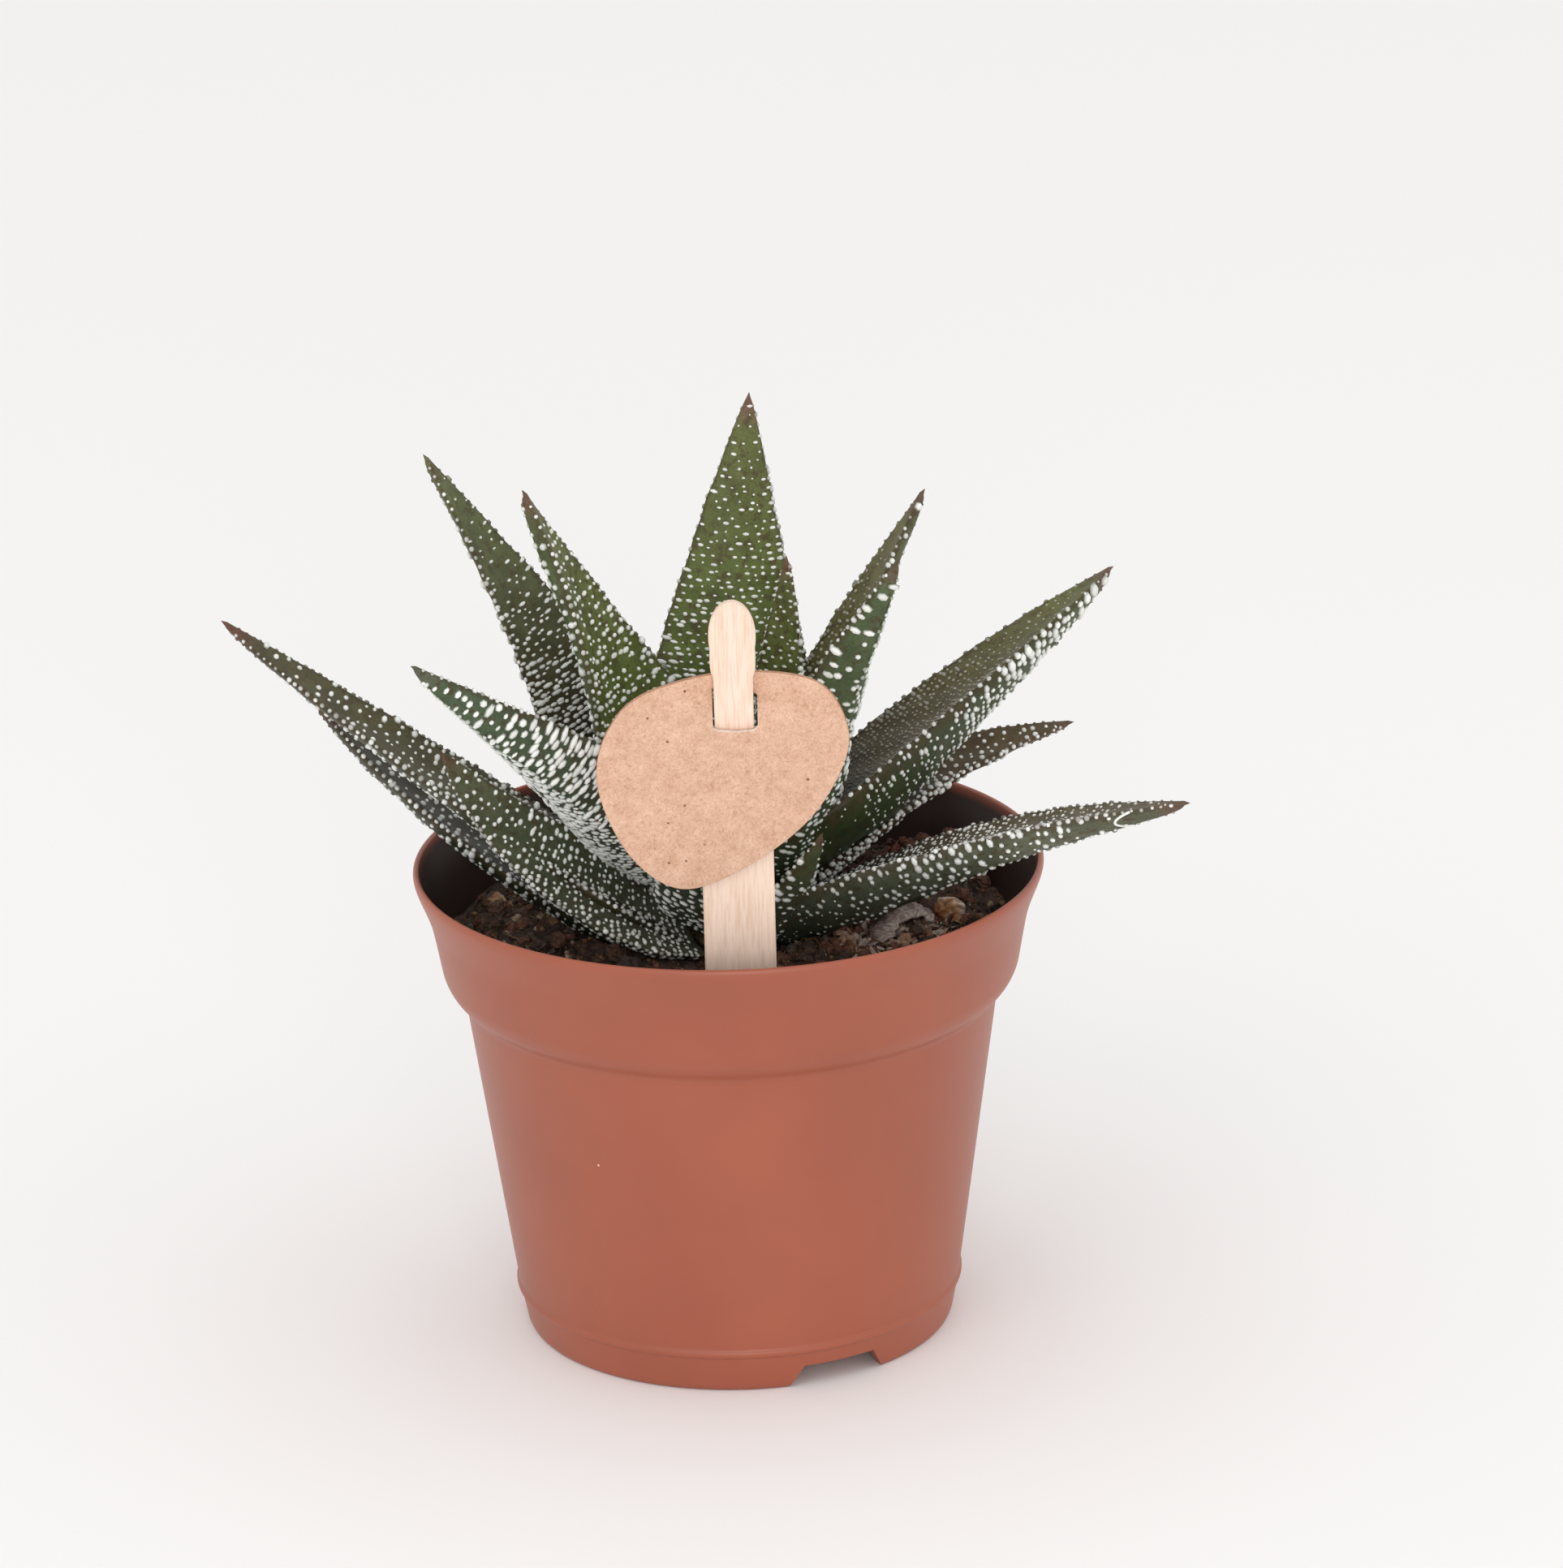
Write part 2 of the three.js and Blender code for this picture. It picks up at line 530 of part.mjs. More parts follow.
function onPeat(name, geometry, finish) {
  return named(name, geometryOf(solidOf(geometry).subtract(raisedPeat)), finish);
}

const chipHeight = soilSurface(CHIP.x, CHIP.y) + 1.1;
plant.add(onPeat("wood_chip", lump(CHIP.size, 2).translate(CHIP.x, CHIP.y, chipHeight), FINISHES.bark));
plant.add(onPeat("dry_leaf_scrap", scrap(), FINISHES.dryLeaf));
for (const { name, x, y, size, seed } of LUMPS) {
  const finish = name === "bark_chunk" ? FINISHES.bark : FINISHES.coarsePeat;
  plant.add(onPeat(name, lump(size, seed).translate(x, y, soilSurface(x, y) + 0.9), finish));
}
plant.add(named("pot", geometryOf(pot()), FINISHES.terracottaPlastic));

// The frame's origin is the middle of the whole plant's footprint, on the surface that it stands on.
const whole = new THREE.Group();
whole.add(plant);
const bounds = new THREE.Box3().setFromObject(plant, true);
const middle = bounds.getCenter(new THREE.Vector3());
plant.position.set(-middle.x, -middle.y, -bounds.min.z);
export default whole;
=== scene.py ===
# %% [markdown]
# # A small haworthia in its nursery pot
#
# The object is a young succulent as it is sold: a rosette of thick, pointed leaves covered in white warts,
# rooted in peat in a moulded 9 cm pot, with a wooden stick label and a card tag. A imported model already
# fixes every piece at its real size. This lesson gives each piece its real surface. It loads the packed
# model first, because every piece below is placed by it.

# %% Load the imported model
import math
from collections import namedtuple
from itertools import combinations

import bmesh
import bpy
import numpy as np
from mathutils import Matrix, Vector, noise
from mathutils.bvhtree import BVHTree


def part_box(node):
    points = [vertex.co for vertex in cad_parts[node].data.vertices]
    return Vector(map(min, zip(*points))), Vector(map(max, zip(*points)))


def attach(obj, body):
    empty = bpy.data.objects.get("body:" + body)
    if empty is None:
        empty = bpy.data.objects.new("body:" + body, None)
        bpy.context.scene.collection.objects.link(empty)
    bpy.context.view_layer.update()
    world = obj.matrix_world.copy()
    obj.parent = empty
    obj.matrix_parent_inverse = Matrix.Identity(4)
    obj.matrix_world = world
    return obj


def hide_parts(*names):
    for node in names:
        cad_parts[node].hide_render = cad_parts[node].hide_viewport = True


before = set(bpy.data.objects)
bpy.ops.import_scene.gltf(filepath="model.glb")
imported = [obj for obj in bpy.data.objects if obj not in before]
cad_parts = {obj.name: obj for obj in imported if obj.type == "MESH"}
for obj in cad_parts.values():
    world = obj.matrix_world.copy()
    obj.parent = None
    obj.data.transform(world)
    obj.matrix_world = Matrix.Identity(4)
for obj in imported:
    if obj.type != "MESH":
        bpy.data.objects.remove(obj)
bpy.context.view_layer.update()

print("packed nodes:", len(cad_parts))

# %% [markdown]
# ## Units and the pot's axis
# The plant was drawn in millimetres round the pot's own axis, and Blender works in metres. The axis is read
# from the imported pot, so that a piece drawn at (0, 0) stands on it. Everything random comes from seeded
# generators, so that the script makes the same plant each time.

# %% Millimetres round the pot's axis
MM = 0.001
pot_low, pot_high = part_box("pot")
AXIS = np.array([(pot_low.x + pot_high.x) / 2, (pot_low.y + pot_high.y) / 2, 0.0])
TURN = 2 * math.pi


def metres(points):
    """Points in millimetres round the pot's axis, as places in the scene."""
    return np.asarray(points, float) * MM + AXIS


print("pot axis at", AXIS.round(4).tolist(), "pot is", round((pot_high.x - pot_low.x) / MM, 1), "mm across")

# %% [markdown]
# ## Helpers for meshes and materials
# A surface that follows a formula is easiest to build as arrays of points and triangles, which numpy fills
# quickly. One function turns them into a mesh, with any value that the materials read stored on the points.
# The turned pot, the leaves, the warts, the fibres and the peat are all tubes: rings of points that close
# to one point at each end. So one function gives a ring's points and one gives a tube's triangles. Colours
# are written as sRGB hex, as a paint or print sample is, and one function turns them into the linear values
# that Blender's shaders expect. One more function adds a shader node with its settings and links.

# %% Build a mesh piece from arrays
def make_piece(name, points, faces, materials, stored=None, picks=None, smooth=True):
    """A piece on the object's one body, with values stored on its points and a material picked per face."""
    mesh = bpy.data.meshes.new(name)
    mesh.from_pydata(metres(points).tolist(), [], [list(map(int, face)) for face in faces])
    for key, values in (stored or {}).items():
        kind, field = ("FLOAT_COLOR", "color") if np.ndim(values) == 2 else ("FLOAT", "value")
        layer = mesh.attributes.new(key, kind, "POINT")
        layer.data.foreach_set(field, np.asarray(values, float).ravel())
    for material in materials:
        mesh.materials.append(material)
    if picks is not None:
        mesh.polygons.foreach_set("material_index", np.asarray(picks, int))
    mesh.polygons.foreach_set("use_smooth", [smooth] * len(mesh.polygons))
    mesh.validate()
    mesh.update()
    piece = bpy.data.objects.new(name, mesh)
    bpy.context.scene.collection.objects.link(piece)
    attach(piece, "root")
    return piece


def join(parts):
    """Several (points, triangles) pairs as one pair."""
    points, triangles, first = [], [], 0
    for part_points, part_triangles in parts:
        points.append(np.asarray(part_points, float))
        triangles.append(np.asarray(part_triangles, int) + first)
        first += len(part_points)
    return np.concatenate(points), np.concatenate(triangles)


def ring(radius, height, count, middle=(0.0, 0.0)):
    """Points at even steps round a level circle."""
    angles = np.arange(count) * TURN / count
    return [(middle[0] + radius * math.cos(a), middle[1] + radius * math.sin(a), height) for a in angles]


def tube_triangles(rings, sides):
    """The triangles of a tube whose points are its start, its rings one after another, and its end."""
    triangles = []
    last = 1 + (rings - 1) * sides
    for j in range(sides):
        k = (j + 1) % sides
        triangles.append((0, 1 + k, 1 + j))
        for i in range(rings - 1):
            a, b = 1 + i * sides + j, 1 + i * sides + k
            triangles += [(a, b, b + sides), (a, b + sides, a + sides)]
        triangles.append((last + sides, last + j, last + k))
    return np.array(triangles)


# %% Colours and shader nodes
def linear(code):
    """An sRGB hex colour as linear red, green, blue and alpha."""
    shares = [int(code[i:i + 2], 16) / 255 for i in (1, 3, 5)]
    return [s / 12.92 if s <= 0.04045 else ((s + 0.055) / 1.055) ** 2.4 for s in shares] + [1.0]


def plug(tree, node, sockets):
    """Give each socket its number, its colour or another node's output."""
    for key, value in sockets.items():
        if isinstance(value, bpy.types.NodeSocket):
            tree.links.new(value, node.inputs[key])
        else:
            node.inputs[key].default_value = value


def add(tree, kind, sockets=None, stops=None, **settings):
    """Add a node with its settings and links. Each stop of a colour ramp is a place and a hex colour."""
    node = tree.nodes.new(kind)
    for key, value in settings.items():
        setattr(node, key, value)
    plug(tree, node, sockets or {})
    for i, (place, code) in enumerate(stops or []):
        stop = node.color_ramp.elements[i]
        stop.position = place
        stop.color = linear(code)
    return node


def new_material(name):
    """An empty material, its node tree and its principled shader."""
    material = bpy.data.materials.new(name)
    material.use_nodes = True
    tree = material.node_tree
    return material, tree, tree.nodes["Principled BSDF"]


# %% [markdown]
# ## Camera
# The photograph was taken from about 1.2 m away with a long lens, 20 degrees above the table, so the pot's
# mouth shows as a narrow ellipse and the sides hardly converge. A long lens far away gives that. The camera
# is turned a little about its own axis, because the pot leans slightly to the left in the picture.

# %% Camera at the photograph's angle
ELEVATION = math.radians(19.69)
DISTANCE = 1200.0
AIM = np.array([7.86, 0.0, 80.31])
SENSOR = 36.0
PHOTO_HEIGHT = 1932
FOCAL_PIXELS = 10410
LEAN = math.radians(-1.45)

camera_data = bpy.data.cameras.new("camera")
camera_data.sensor_fit = "VERTICAL"
camera_data.sensor_height = SENSOR
camera_data.lens = FOCAL_PIXELS * SENSOR / PHOTO_HEIGHT
camera_data.clip_end = 20.0
camera = bpy.data.objects.new("camera", camera_data)
bpy.context.scene.collection.objects.link(camera)
away = np.array([0.0, -math.cos(ELEVATION), math.sin(ELEVATION)])
look = Vector((-away).tolist()).to_track_quat("-Z", "Y").to_matrix().to_4x4()
camera.matrix_world = (
    Matrix.Translation(metres(AIM + DISTANCE * away).tolist()) @ look @ Matrix.Rotation(LEAN, 4, "Z")
)
bpy.context.scene.camera = camera
print("lens", round(camera_data.lens, 1), "mm at", round(DISTANCE * MM, 2), "m")

# %% [markdown]
# ## Floor and light
# The picture was lit almost without shadows, on white. A large pale floor and a bright even sky give most
# of that. Three big soft lamps do the rest: the strongest stands behind the camera and lightens the deep
# shade between the leaves, one high at the left models them a little, and one fills from the right.

# %% Pale floor and soft studio light
FLOOR_HALF = 3000.0
LAMPS_AIM = (0, 0, 60)
SKY_STRENGTH = 0.89


def plain_floor():
    material, tree, shader = new_material("pale_studio_floor")
    plug(tree, shader, {"Base Color": linear("#FAF9F8"), "Roughness": 0.9})
    corners = [(x * FLOOR_HALF, y * FLOOR_HALF, 0) for x, y in ((-1, -1), (1, -1), (1, 1), (-1, 1))]
    mesh = bpy.data.meshes.new("floor")
    mesh.from_pydata(metres(corners).tolist(), [], [(0, 1, 2, 3)])
    mesh.materials.append(material)
    floor = bpy.data.objects.new("floor", mesh)
    bpy.context.scene.collection.objects.link(floor)


def soft_lamp(name, place, size, watts):
    """A square lamp of this size that faces the plant's middle."""
    lamp_data = bpy.data.lights.new(name, "AREA")
    lamp_data.size = size * MM
    lamp_data.energy = watts
    lamp = bpy.data.objects.new(name, lamp_data)
    lamp.location = metres(place).tolist()
    lamp.rotation_euler = (Vector(LAMPS_AIM) - Vector(place)).to_track_quat("-Z", "Y").to_euler()
    bpy.context.scene.collection.objects.link(lamp)


plain_floor()
soft_lamp("key_softbox", (-500, -900, 950), 700, 1.5)
soft_lamp("fill_softbox", (900, -700, 600), 900, 0.3)
soft_lamp("front_softbox", (100, -1400, 420), 600, 5.0)
world = bpy.data.worlds.new("studio")
world.use_nodes = True
sky = world.node_tree.nodes["Background"]
plug(world.node_tree, sky, {"Color": linear("#FFFFFF"), "Strength": SKY_STRENGTH})
bpy.context.scene.world = world
bpy.context.scene.view_settings.view_transform = "Standard"

# %% [markdown]
# ## The pot
# The pot is one injection moulding of coloured polypropylene: a flared lip, a deep collar, a tapering body,
# a thin bead low down and a foot ring with two notches for the water. It is a turned form, so its section
# is drawn once and swept round. The mould's corners are rounded, and a rounded corner is what catches the
# light, so each corner of the section is replaced by a short curve before the sweep.

# %% The pot's section
FLOOR_UNDERSIDE = 3.4
FLOOR_TOP = 4.8
FOOT_RADIUS = 30.8
CURVE_MOST = 0.45


def corner_curve(start, corner, end, steps):
    """Points of a curve from start to end that leaves towards the corner and arrives from it."""
    shares = (np.arange(steps + 1) / steps)[:, None]
    start, corner, end = (np.array(place, float) for place in (start, corner, end))
    return (1 - shares) ** 2 * start + 2 * shares * (1 - shares) * corner + shares ** 2 * end


def rounded(section, steps=5):
    """A section of (radius, height, softness) with each corner drawn as a short curve."""
    places = [np.array(row[:2], float) for row in section]
    line = [places[0]]
    for i in range(1, len(section) - 1):
        ends = []
        for neighbour in (places[i - 1], places[i + 1]):
            side = neighbour - places[i]
            length = np.linalg.norm(side)
            ends.append(places[i] + side / length * min(section[i][2], CURVE_MOST * length))
        line.extend(corner_curve(ends[0], places[i], ends[1], steps))
    line.append(places[-1])
    return np.array(line)


OUTSIDE = [
    (0, FLOOR_UNDERSIDE, 0), (28.4, FLOOR_UNDERSIDE, 0.5), (28.6, 0, 0.3), (30.3, 0, 0.5),
    (FOOT_RADIUS, 0.7, 0.4), (31.75, 5.4, 0.3), (32.2, 5.75, 0.25), (32.25, 6.35, 0.25), (31.95, 6.8, 0.3),
    (38.2, 50.4, 0.9), (40.1, 52.0, 1.2), (41.15, 53.9, 1.0), (42.5, 61.5, 4.0), (43.3, 64.0, 2.0),
    (44.8, 67.7, 0.8), (45.0, 68.7, 0.4), (44.75, 69.3, 0.35), (44.2, 69.25, 0.35), (43.7, 67.8, 0.8),
]
INSIDE = [
    (42.1, 64.0, 2.0), (40.0, 54.8, 1.0), (37.0, 50.6, 0.9), (30.6, FLOOR_TOP, 0.8), (0, FLOOR_TOP, 0),
]

pot_section = rounded(OUTSIDE + INSIDE)
print("pot section has", len(pot_section), "points")

# %% Sweep it round and cut the foot's notches and the drains
SWEEP_STEPS = 192
NOTCH_BEARINGS = (-63, 117)
NOTCH_HALF_WIDTH = 5.5
NOTCH_SLOPE = 2.6
NOTCH_FROM_AND_TO = (FOOT_RADIUS - 4.5, FOOT_RADIUS + 3.5)
DRAINS = 4
DRAIN_RADIUS = 3.4
DRAIN_CIRCLE = 19.0
OVERCUT = 1.0


def sweep(section, steps):
    """A section that starts and ends on the axis, swept into a closed turned form."""
    points = [(0, 0, section[0][1])]
    for radius, height in section[1:-1]:
        points += ring(radius, height, steps)
    points.append((0, 0, section[-1][1]))
    return points, tube_triangles(len(section) - 2, steps)


def cutter(points):
    """A prism to cut with. The first half of the points is one end, and the second half the other."""
    count = len(points) // 2
    faces = [tuple(reversed(range(count))), tuple(range(count, 2 * count))]
    faces += [(j, (j + 1) % count, count + (j + 1) % count, count + j) for j in range(count)]
    mesh = bpy.data.meshes.new("cutter")
    mesh.from_pydata(metres(points).tolist(), [], faces)
    tool = bpy.data.objects.new("cutter", mesh)
    bpy.context.scene.collection.objects.link(tool)
    return tool


def notch_cutter(bearing):
    """A wedge across the foot ring, wider at the bottom."""
    half_foot = NOTCH_HALF_WIDTH + NOTCH_SLOPE
    section = [
        (-half_foot, -OVERCUT), (half_foot, -OVERCUT),
        (NOTCH_HALF_WIDTH, FLOOR_UNDERSIDE), (-NOTCH_HALF_WIDTH, FLOOR_UNDERSIDE),
    ]
    angle = math.radians(bearing)
    along, across = (math.cos(angle), math.sin(angle)), (-math.sin(angle), math.cos(angle))
    points = []
    for radius in NOTCH_FROM_AND_TO:
        for side, height in section:
            points.append([radius * along[n] + side * across[n] for n in (0, 1)] + [height])
    return cutter(points)


def drain_cutter(number, sides=32):
    """A round bar through the floor, one of a circle of them."""
    angle = TURN * (number + 0.5) / DRAINS
    middle = (DRAIN_CIRCLE * math.cos(angle), DRAIN_CIRCLE * math.sin(angle))
    heights = (FLOOR_UNDERSIDE - OVERCUT, FLOOR_TOP + OVERCUT)
    return cutter([point for height in heights for point in ring(DRAIN_RADIUS, height, sides, middle)])


def cut(piece, tools):
    """Cut the tools out of the piece, keep the result as its mesh and remove the tools."""
    for tool in tools:
        step = piece.modifiers.new("cut", "BOOLEAN")
        step.object = tool
        step.solver = "EXACT"
    result = bpy.data.meshes.new_from_object(piece.evaluated_get(bpy.context.evaluated_depsgraph_get()))
    piece.modifiers.clear()
    piece.data = result
    for tool in tools:
        bpy.data.objects.remove(tool)


# %% [markdown]
# ### Terracotta-coloured polypropylene
# Polypropylene is a slightly waxy plastic with an IOR near 1.49. The mould is lightly blasted, so the
# surface is satin rather than glossy and the light spreads into a broad soft sheen. The pigment is even,
# but the melt flows leave faint clouds about 26 mm across, and a few specks of dust lie on it. The blasted
# grain is drawn at 0.4 mm, coarser than the real one, so that it shows. Inside, the wall is darkened to a
# deep brown almost up to the lip: partly a real stain of damp peat, partly painted shade of the pot's mouth.
# How far is stored on the points, so that the darkening can fade out.

# %% Satin polypropylene
def specks(tree, place, scale, radius, share):
    """A mask of round specks. This share of a pattern's cells has one, with a radius measured in cells."""
    cells = add(tree, "ShaderNodeTexVoronoi", {"Vector": place, "Scale": scale})
    near = add(tree, "ShaderNodeMath", {0: cells.outputs["Distance"], 1: radius}, operation="LESS_THAN")
    chosen = add(tree, "ShaderNodeSeparateColor", {"Color": cells.outputs["Color"]})
    rare = add(tree, "ShaderNodeMath", {0: chosen.outputs["Red"], 1: share}, operation="LESS_THAN")
    speck = add(tree, "ShaderNodeMath", {0: near.outputs[0], 1: rare.outputs[0]}, operation="MULTIPLY")
    return speck.outputs[0]


def terracotta_polypropylene():
    material, tree, shader = new_material("terracotta_polypropylene")
    place = add(tree, "ShaderNodeTexCoord").outputs["Object"]
    clouds = add(tree, "ShaderNodeTexNoise",
                 {"Vector": place, "Scale": 38.0, "Detail": 3.0, "Roughness": 0.5})
    tint = add(tree, "ShaderNodeValToRGB", {"Fac": clouds.outputs["Fac"]},
               stops=[(0.3, "#9A513B"), (0.7, "#A4583F")])
    # Dust: pale specks up to 0.4 mm across. The cells are 18 mm wide and deep, so the wall meets very few.
    dust = specks(tree, place, 55.0, 0.011, 0.24)
    dusty = add(tree, "ShaderNodeMix", {0: dust, 6: tint.outputs["Color"], 7: linear("#E6B8A6")},
                data_type="RGBA")
    # The inside is darkened: partly a real stain of damp peat, partly painted shade of the pot's mouth.
    stain_and_shade = add(tree, "ShaderNodeAttribute", attribute_name="stain_and_shade").outputs["Fac"]
    stained_and_shaded = add(tree, "ShaderNodeMix", {0: stain_and_shade, 6: dusty.outputs[2], 7: linear("#35241F")},
                  data_type="RGBA")
    grain = add(tree, "ShaderNodeTexNoise", {"Vector": place, "Scale": 2600.0, "Detail": 2.0})
    relief = add(tree, "ShaderNodeBump",
                 {"Height": grain.outputs["Fac"], "Strength": 0.06, "Distance": 0.00004})
    gloss = add(tree, "ShaderNodeMapRange",
                {"Value": clouds.outputs["Fac"], "To Min": 0.36, "To Max": 0.46})
    plug(tree, shader, {
        "Base Color": stained_and_shaded.outputs[2], "Roughness": gloss.outputs[0], "Normal": relief.outputs["Normal"],
        "IOR": 1.49, "Subsurface Weight": 0.08, "Subsurface Radius": (0.0012, 0.0006, 0.0004),
    })
    return material


# %% Mould the pot
POT_SHARP_ANGLE = math.radians(38)

pot_points, pot_triangles = sweep(pot_section, SWEEP_STEPS)
pot = make_piece("nursery_pot", pot_points, pot_triangles, [terracotta_polypropylene()])
cut(pot, [notch_cutter(bearing) for bearing in NOTCH_BEARINGS]
    + [drain_cutter(number) for number in range(DRAINS)])
pot.data.polygons.foreach_set("use_smooth", [True] * len(pot.data.polygons))
pot.data.set_sharp_from_angle(angle=POT_SHARP_ANGLE)
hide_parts("pot")
print("pot faces:", len(pot.data.polygons))

# %% Store where the inner wall is darkened by peat stain and painted shade
STAIN_AND_SHADE_TOP = 69.2
STAIN_AND_SHADE_FULL = 67.8
WALL_HEIGHTS = (FLOOR_TOP, 50.6, 54.8, 64.0, 67.9)
WALL_RADII = (30.6, 37.0, 40.0, 42.1, 43.8)
HAIR = 0.08
WALL_ROOM = 0.5
FLOOR_ROOM = 0.01


def wall_radius(height):
    """The pot's inner wall, with a hair of room so that peat and plastic don't share a face."""
    return np.interp(height, WALL_HEIGHTS, WALL_RADII) - HAIR


pot_places = (np.array([vertex.co for vertex in pot.data.vertices]) - AXIS) / MM
inside = np.hypot(pot_places[:, 0], pot_places[:, 1]) < wall_radius(pot_places[:, 2]) + WALL_ROOM
inside &= pot_places[:, 2] > FLOOR_TOP - FLOOR_ROOM
# Below the lip the inner wall is darkened: a peat stain together with painted shade.
stain_and_shade = inside * np.interp(pot_places[:, 2], (STAIN_AND_SHADE_FULL, STAIN_AND_SHADE_TOP), (1.0, 0.0))
pot.data.attributes.new("stain_and_shade", "FLOAT", "POINT").data.foreach_set("value", stain_and_shade)
print("stained points:", int(inside.sum()))

# %% [markdown]
# ## The leaves
# Each leaf tapers from a clasping base to a needle. Its section has a shallow channel above and a keel
# below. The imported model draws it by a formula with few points. The same formula, with many points, gives a
# smooth skin on the same form, so the table of leaves is repeated here. One row is one leaf, from the
# crown's centre outwards: its bearing (0 right, 90 back), its slope at base and tip and its sideways bend
# in degrees, its length and width in millimetres, the depth of its keel as a share of the width, its roll
# and twist in degrees, and its height on the stem and distance from the stem's axis in millimetres. Then
# come the names of its skin and of the warts on its underside and upper side, and the distance in
# millimetres from wart to wart along its margins.

# %% The rosette, leaf by leaf
Leaf = namedtuple(
    "Leaf", "bearing foot_rise tip_rise drift length width keel roll twist height inset skin under upper edge"
)

LEAVES = [
    Leaf(60, 86, 86, 0, 31, 12, 0.3, 0, 0, 73, 1.5, "fresh", "bold", "fine", 1.4),
    Leaf(215, 72, 84, 0, 24, 13, 0.3, 0, 0, 72.5, 3, "fresh", "bold", "fine", 1.4),
    Leaf(-40, 74, 86, 0, 24, 12, 0.3, 0, 0, 72.5, 3, "fresh", "bold", "fine", 1.4),
    Leaf(35.5, 75, 87, 1, 42, 15, 0.36, 12, 2, 70, 4.4, "fresh", "bold", "dashes", 1.4),
    Leaf(-43, 65.5, 55, 0, 57, 21, 0.36, -17, 22, 70.5, 5.8, "jade", "bold", "fine", 1.4),
    Leaf(158, 70.4, 59.6, 14, 55.3, 23.5, 0.34, -36, 42, 71.5, 5.8, "fresh", "bold", "dots", 1.3),
    Leaf(88.7, 64, 72, -19.5, 63.5, 29, 0.34, 9.5, -9.5, 70, 5.8, "fresh", "bold", "dashes", 1.4),
    Leaf(216, 42.5, 35, 3.3, 61, 21, 0.4, 48.5, -29.5, 71.5, 5.8, "slate", "barred", "fine", 1.3),
    Leaf(16.5, 36.3, 17, 22, 65.2, 25.5, 0.44, -15.5, 7, 71.5, 5.8, "mixed", "graded", "bumpy", 1.8),
    Leaf(41.4, 67, 50.5, -14.6, 59, 20.5, 0.31, 4, -20.6, 65.8, 5.8, "olive", "bold", "bumpy", 1.5),
    Leaf(148, 62.4, 54, 17.8, 76.8, 25, 0.27, -40, 34, 58.6, 5.8, "dusky", "bold", "rows", 1.4),
    Leaf(-57.6, 43, 52.4, 8.8, 24.8, 13.1, 0.34, 13.8, 1.7, 60.8, 5.8, "shaded", "sparse", "sparse", 1.4),
    Leaf(-100, 44, 62, 0, 38, 18, 0.3, 0, 0, 63, 5.8, "slate", "bold", "dots", 1.4),
    Leaf(201, 24.8, 55.2, -30, 44.9, 22, 0.28, -15, -30, 60.8, 5.8, "shaded", "crowded", "crowded", 0.95),
    Leaf(178.5, 34.3, 34.8, -9.9, 79, 20, 0.29, 2.5, -14.6, 59.1, 5.8, "weathered", "large", "sparse", 1.2),
    Leaf(33, 26.4, 6, -23, 50.8, 18.5, 0.33, 9.3, 5.2, 66, 5.8, "russet", "sparse", "dots", 1.3),
    Leaf(58, 24, 10, 0, 46, 18, 0.3, 0, 0, 60.5, 5.8, "olive", "bold", "dots", 1.4),
    Leaf(124, 26, 12, 0, 42, 19, 0.3, 0, 0, 60.5, 5.8, "olive", "bold", "dots", 1.4),
    Leaf(93, 32, 6, 0, 50, 19, 0.3, 0, 0, 59, 5.8, "olive", "bold", "dots", 1.4),
    Leaf(-23.3, 28.6, 6.1, 8.8, 65.9, 20.4, 0.41, -11.8, 12.5, 62.8, 5.8, "mossy", "large", "fine", 1.3),
    Leaf(171.6, 23.8, 44.2, -8, 64.1, 18.8, 0.29, 3.6, -2.8, 55.5, 5.8, "deep", "large", "sparse", 1.2),
]
print("leaves:", len(LEAVES), "longest", max(leaf.length for leaf in LEAVES), "mm")

# %% [markdown]
# ### The leaf's form
# The spine is followed in small steps, turning as it goes, and keeps at each step the directions to the
# leaf's side and to its upper face. Any point of the skin is then found from two numbers: t, the share of
# the way from base to tip, and the angle round the section, with 0 and 180 degrees on the margins, 90 on
# the upper face and 270 on the keel. The warts use the same function, so they sit exactly on the skin.

# %% Follow the spine
SPINE_STEPS = 160
LATE_BEND = 1.3


def spine(leaf):
    """The leaf's middle line, and the side and upward directions of its section, from base to tip."""
    t = np.linspace(0, 1, SPINE_STEPS + 1)
    rise = np.radians(leaf.foot_rise + (leaf.tip_rise - leaf.foot_rise) * t ** LATE_BEND)
    bearing = np.radians(leaf.bearing + leaf.drift * t)
    turn = np.radians(leaf.roll + leaf.twist * t)[:, None]
    along = np.stack([np.cos(rise) * np.cos(bearing), np.cos(rise) * np.sin(bearing), np.sin(rise)], 1)
    level = np.stack([-np.sin(bearing), np.cos(bearing), np.zeros_like(t)], 1)
    side = level * np.cos(turn) + np.cross(along, level) * np.sin(turn)
    steps = (along[1:] + along[:-1]) / 2 * leaf.length / SPINE_STEPS
    start = [leaf.inset * math.cos(bearing[0]), leaf.inset * math.sin(bearing[0]), leaf.height]
    middle = np.array(start) + np.concatenate([np.zeros((1, 3)), np.cumsum(steps, 0)])
    return middle, side, np.cross(along, side)


def mixed(first, second, share):
    """A mix: all of the first at a share of 0, all of the second at 1."""
    return first * (1 - share) + second * share


def between(table, t):
    """The rows of a table at the shares t of its length."""
    place = np.clip(t, 0, 1) * (len(table) - 1)
    low = np.minimum(place.astype(int), len(table) - 2)
    return mixed(table[low], table[low + 1], (place - low)[:, None])


# %% Find a point of the skin
MARGIN_DEPTH = 0.35
CHANNEL_SHARE = 0.34
TIP_HALF_WIDTH = 0.35
CLASP_END = 0.2
TAPER_LENGTH = 0.86
KEEL_FULL = 0.25


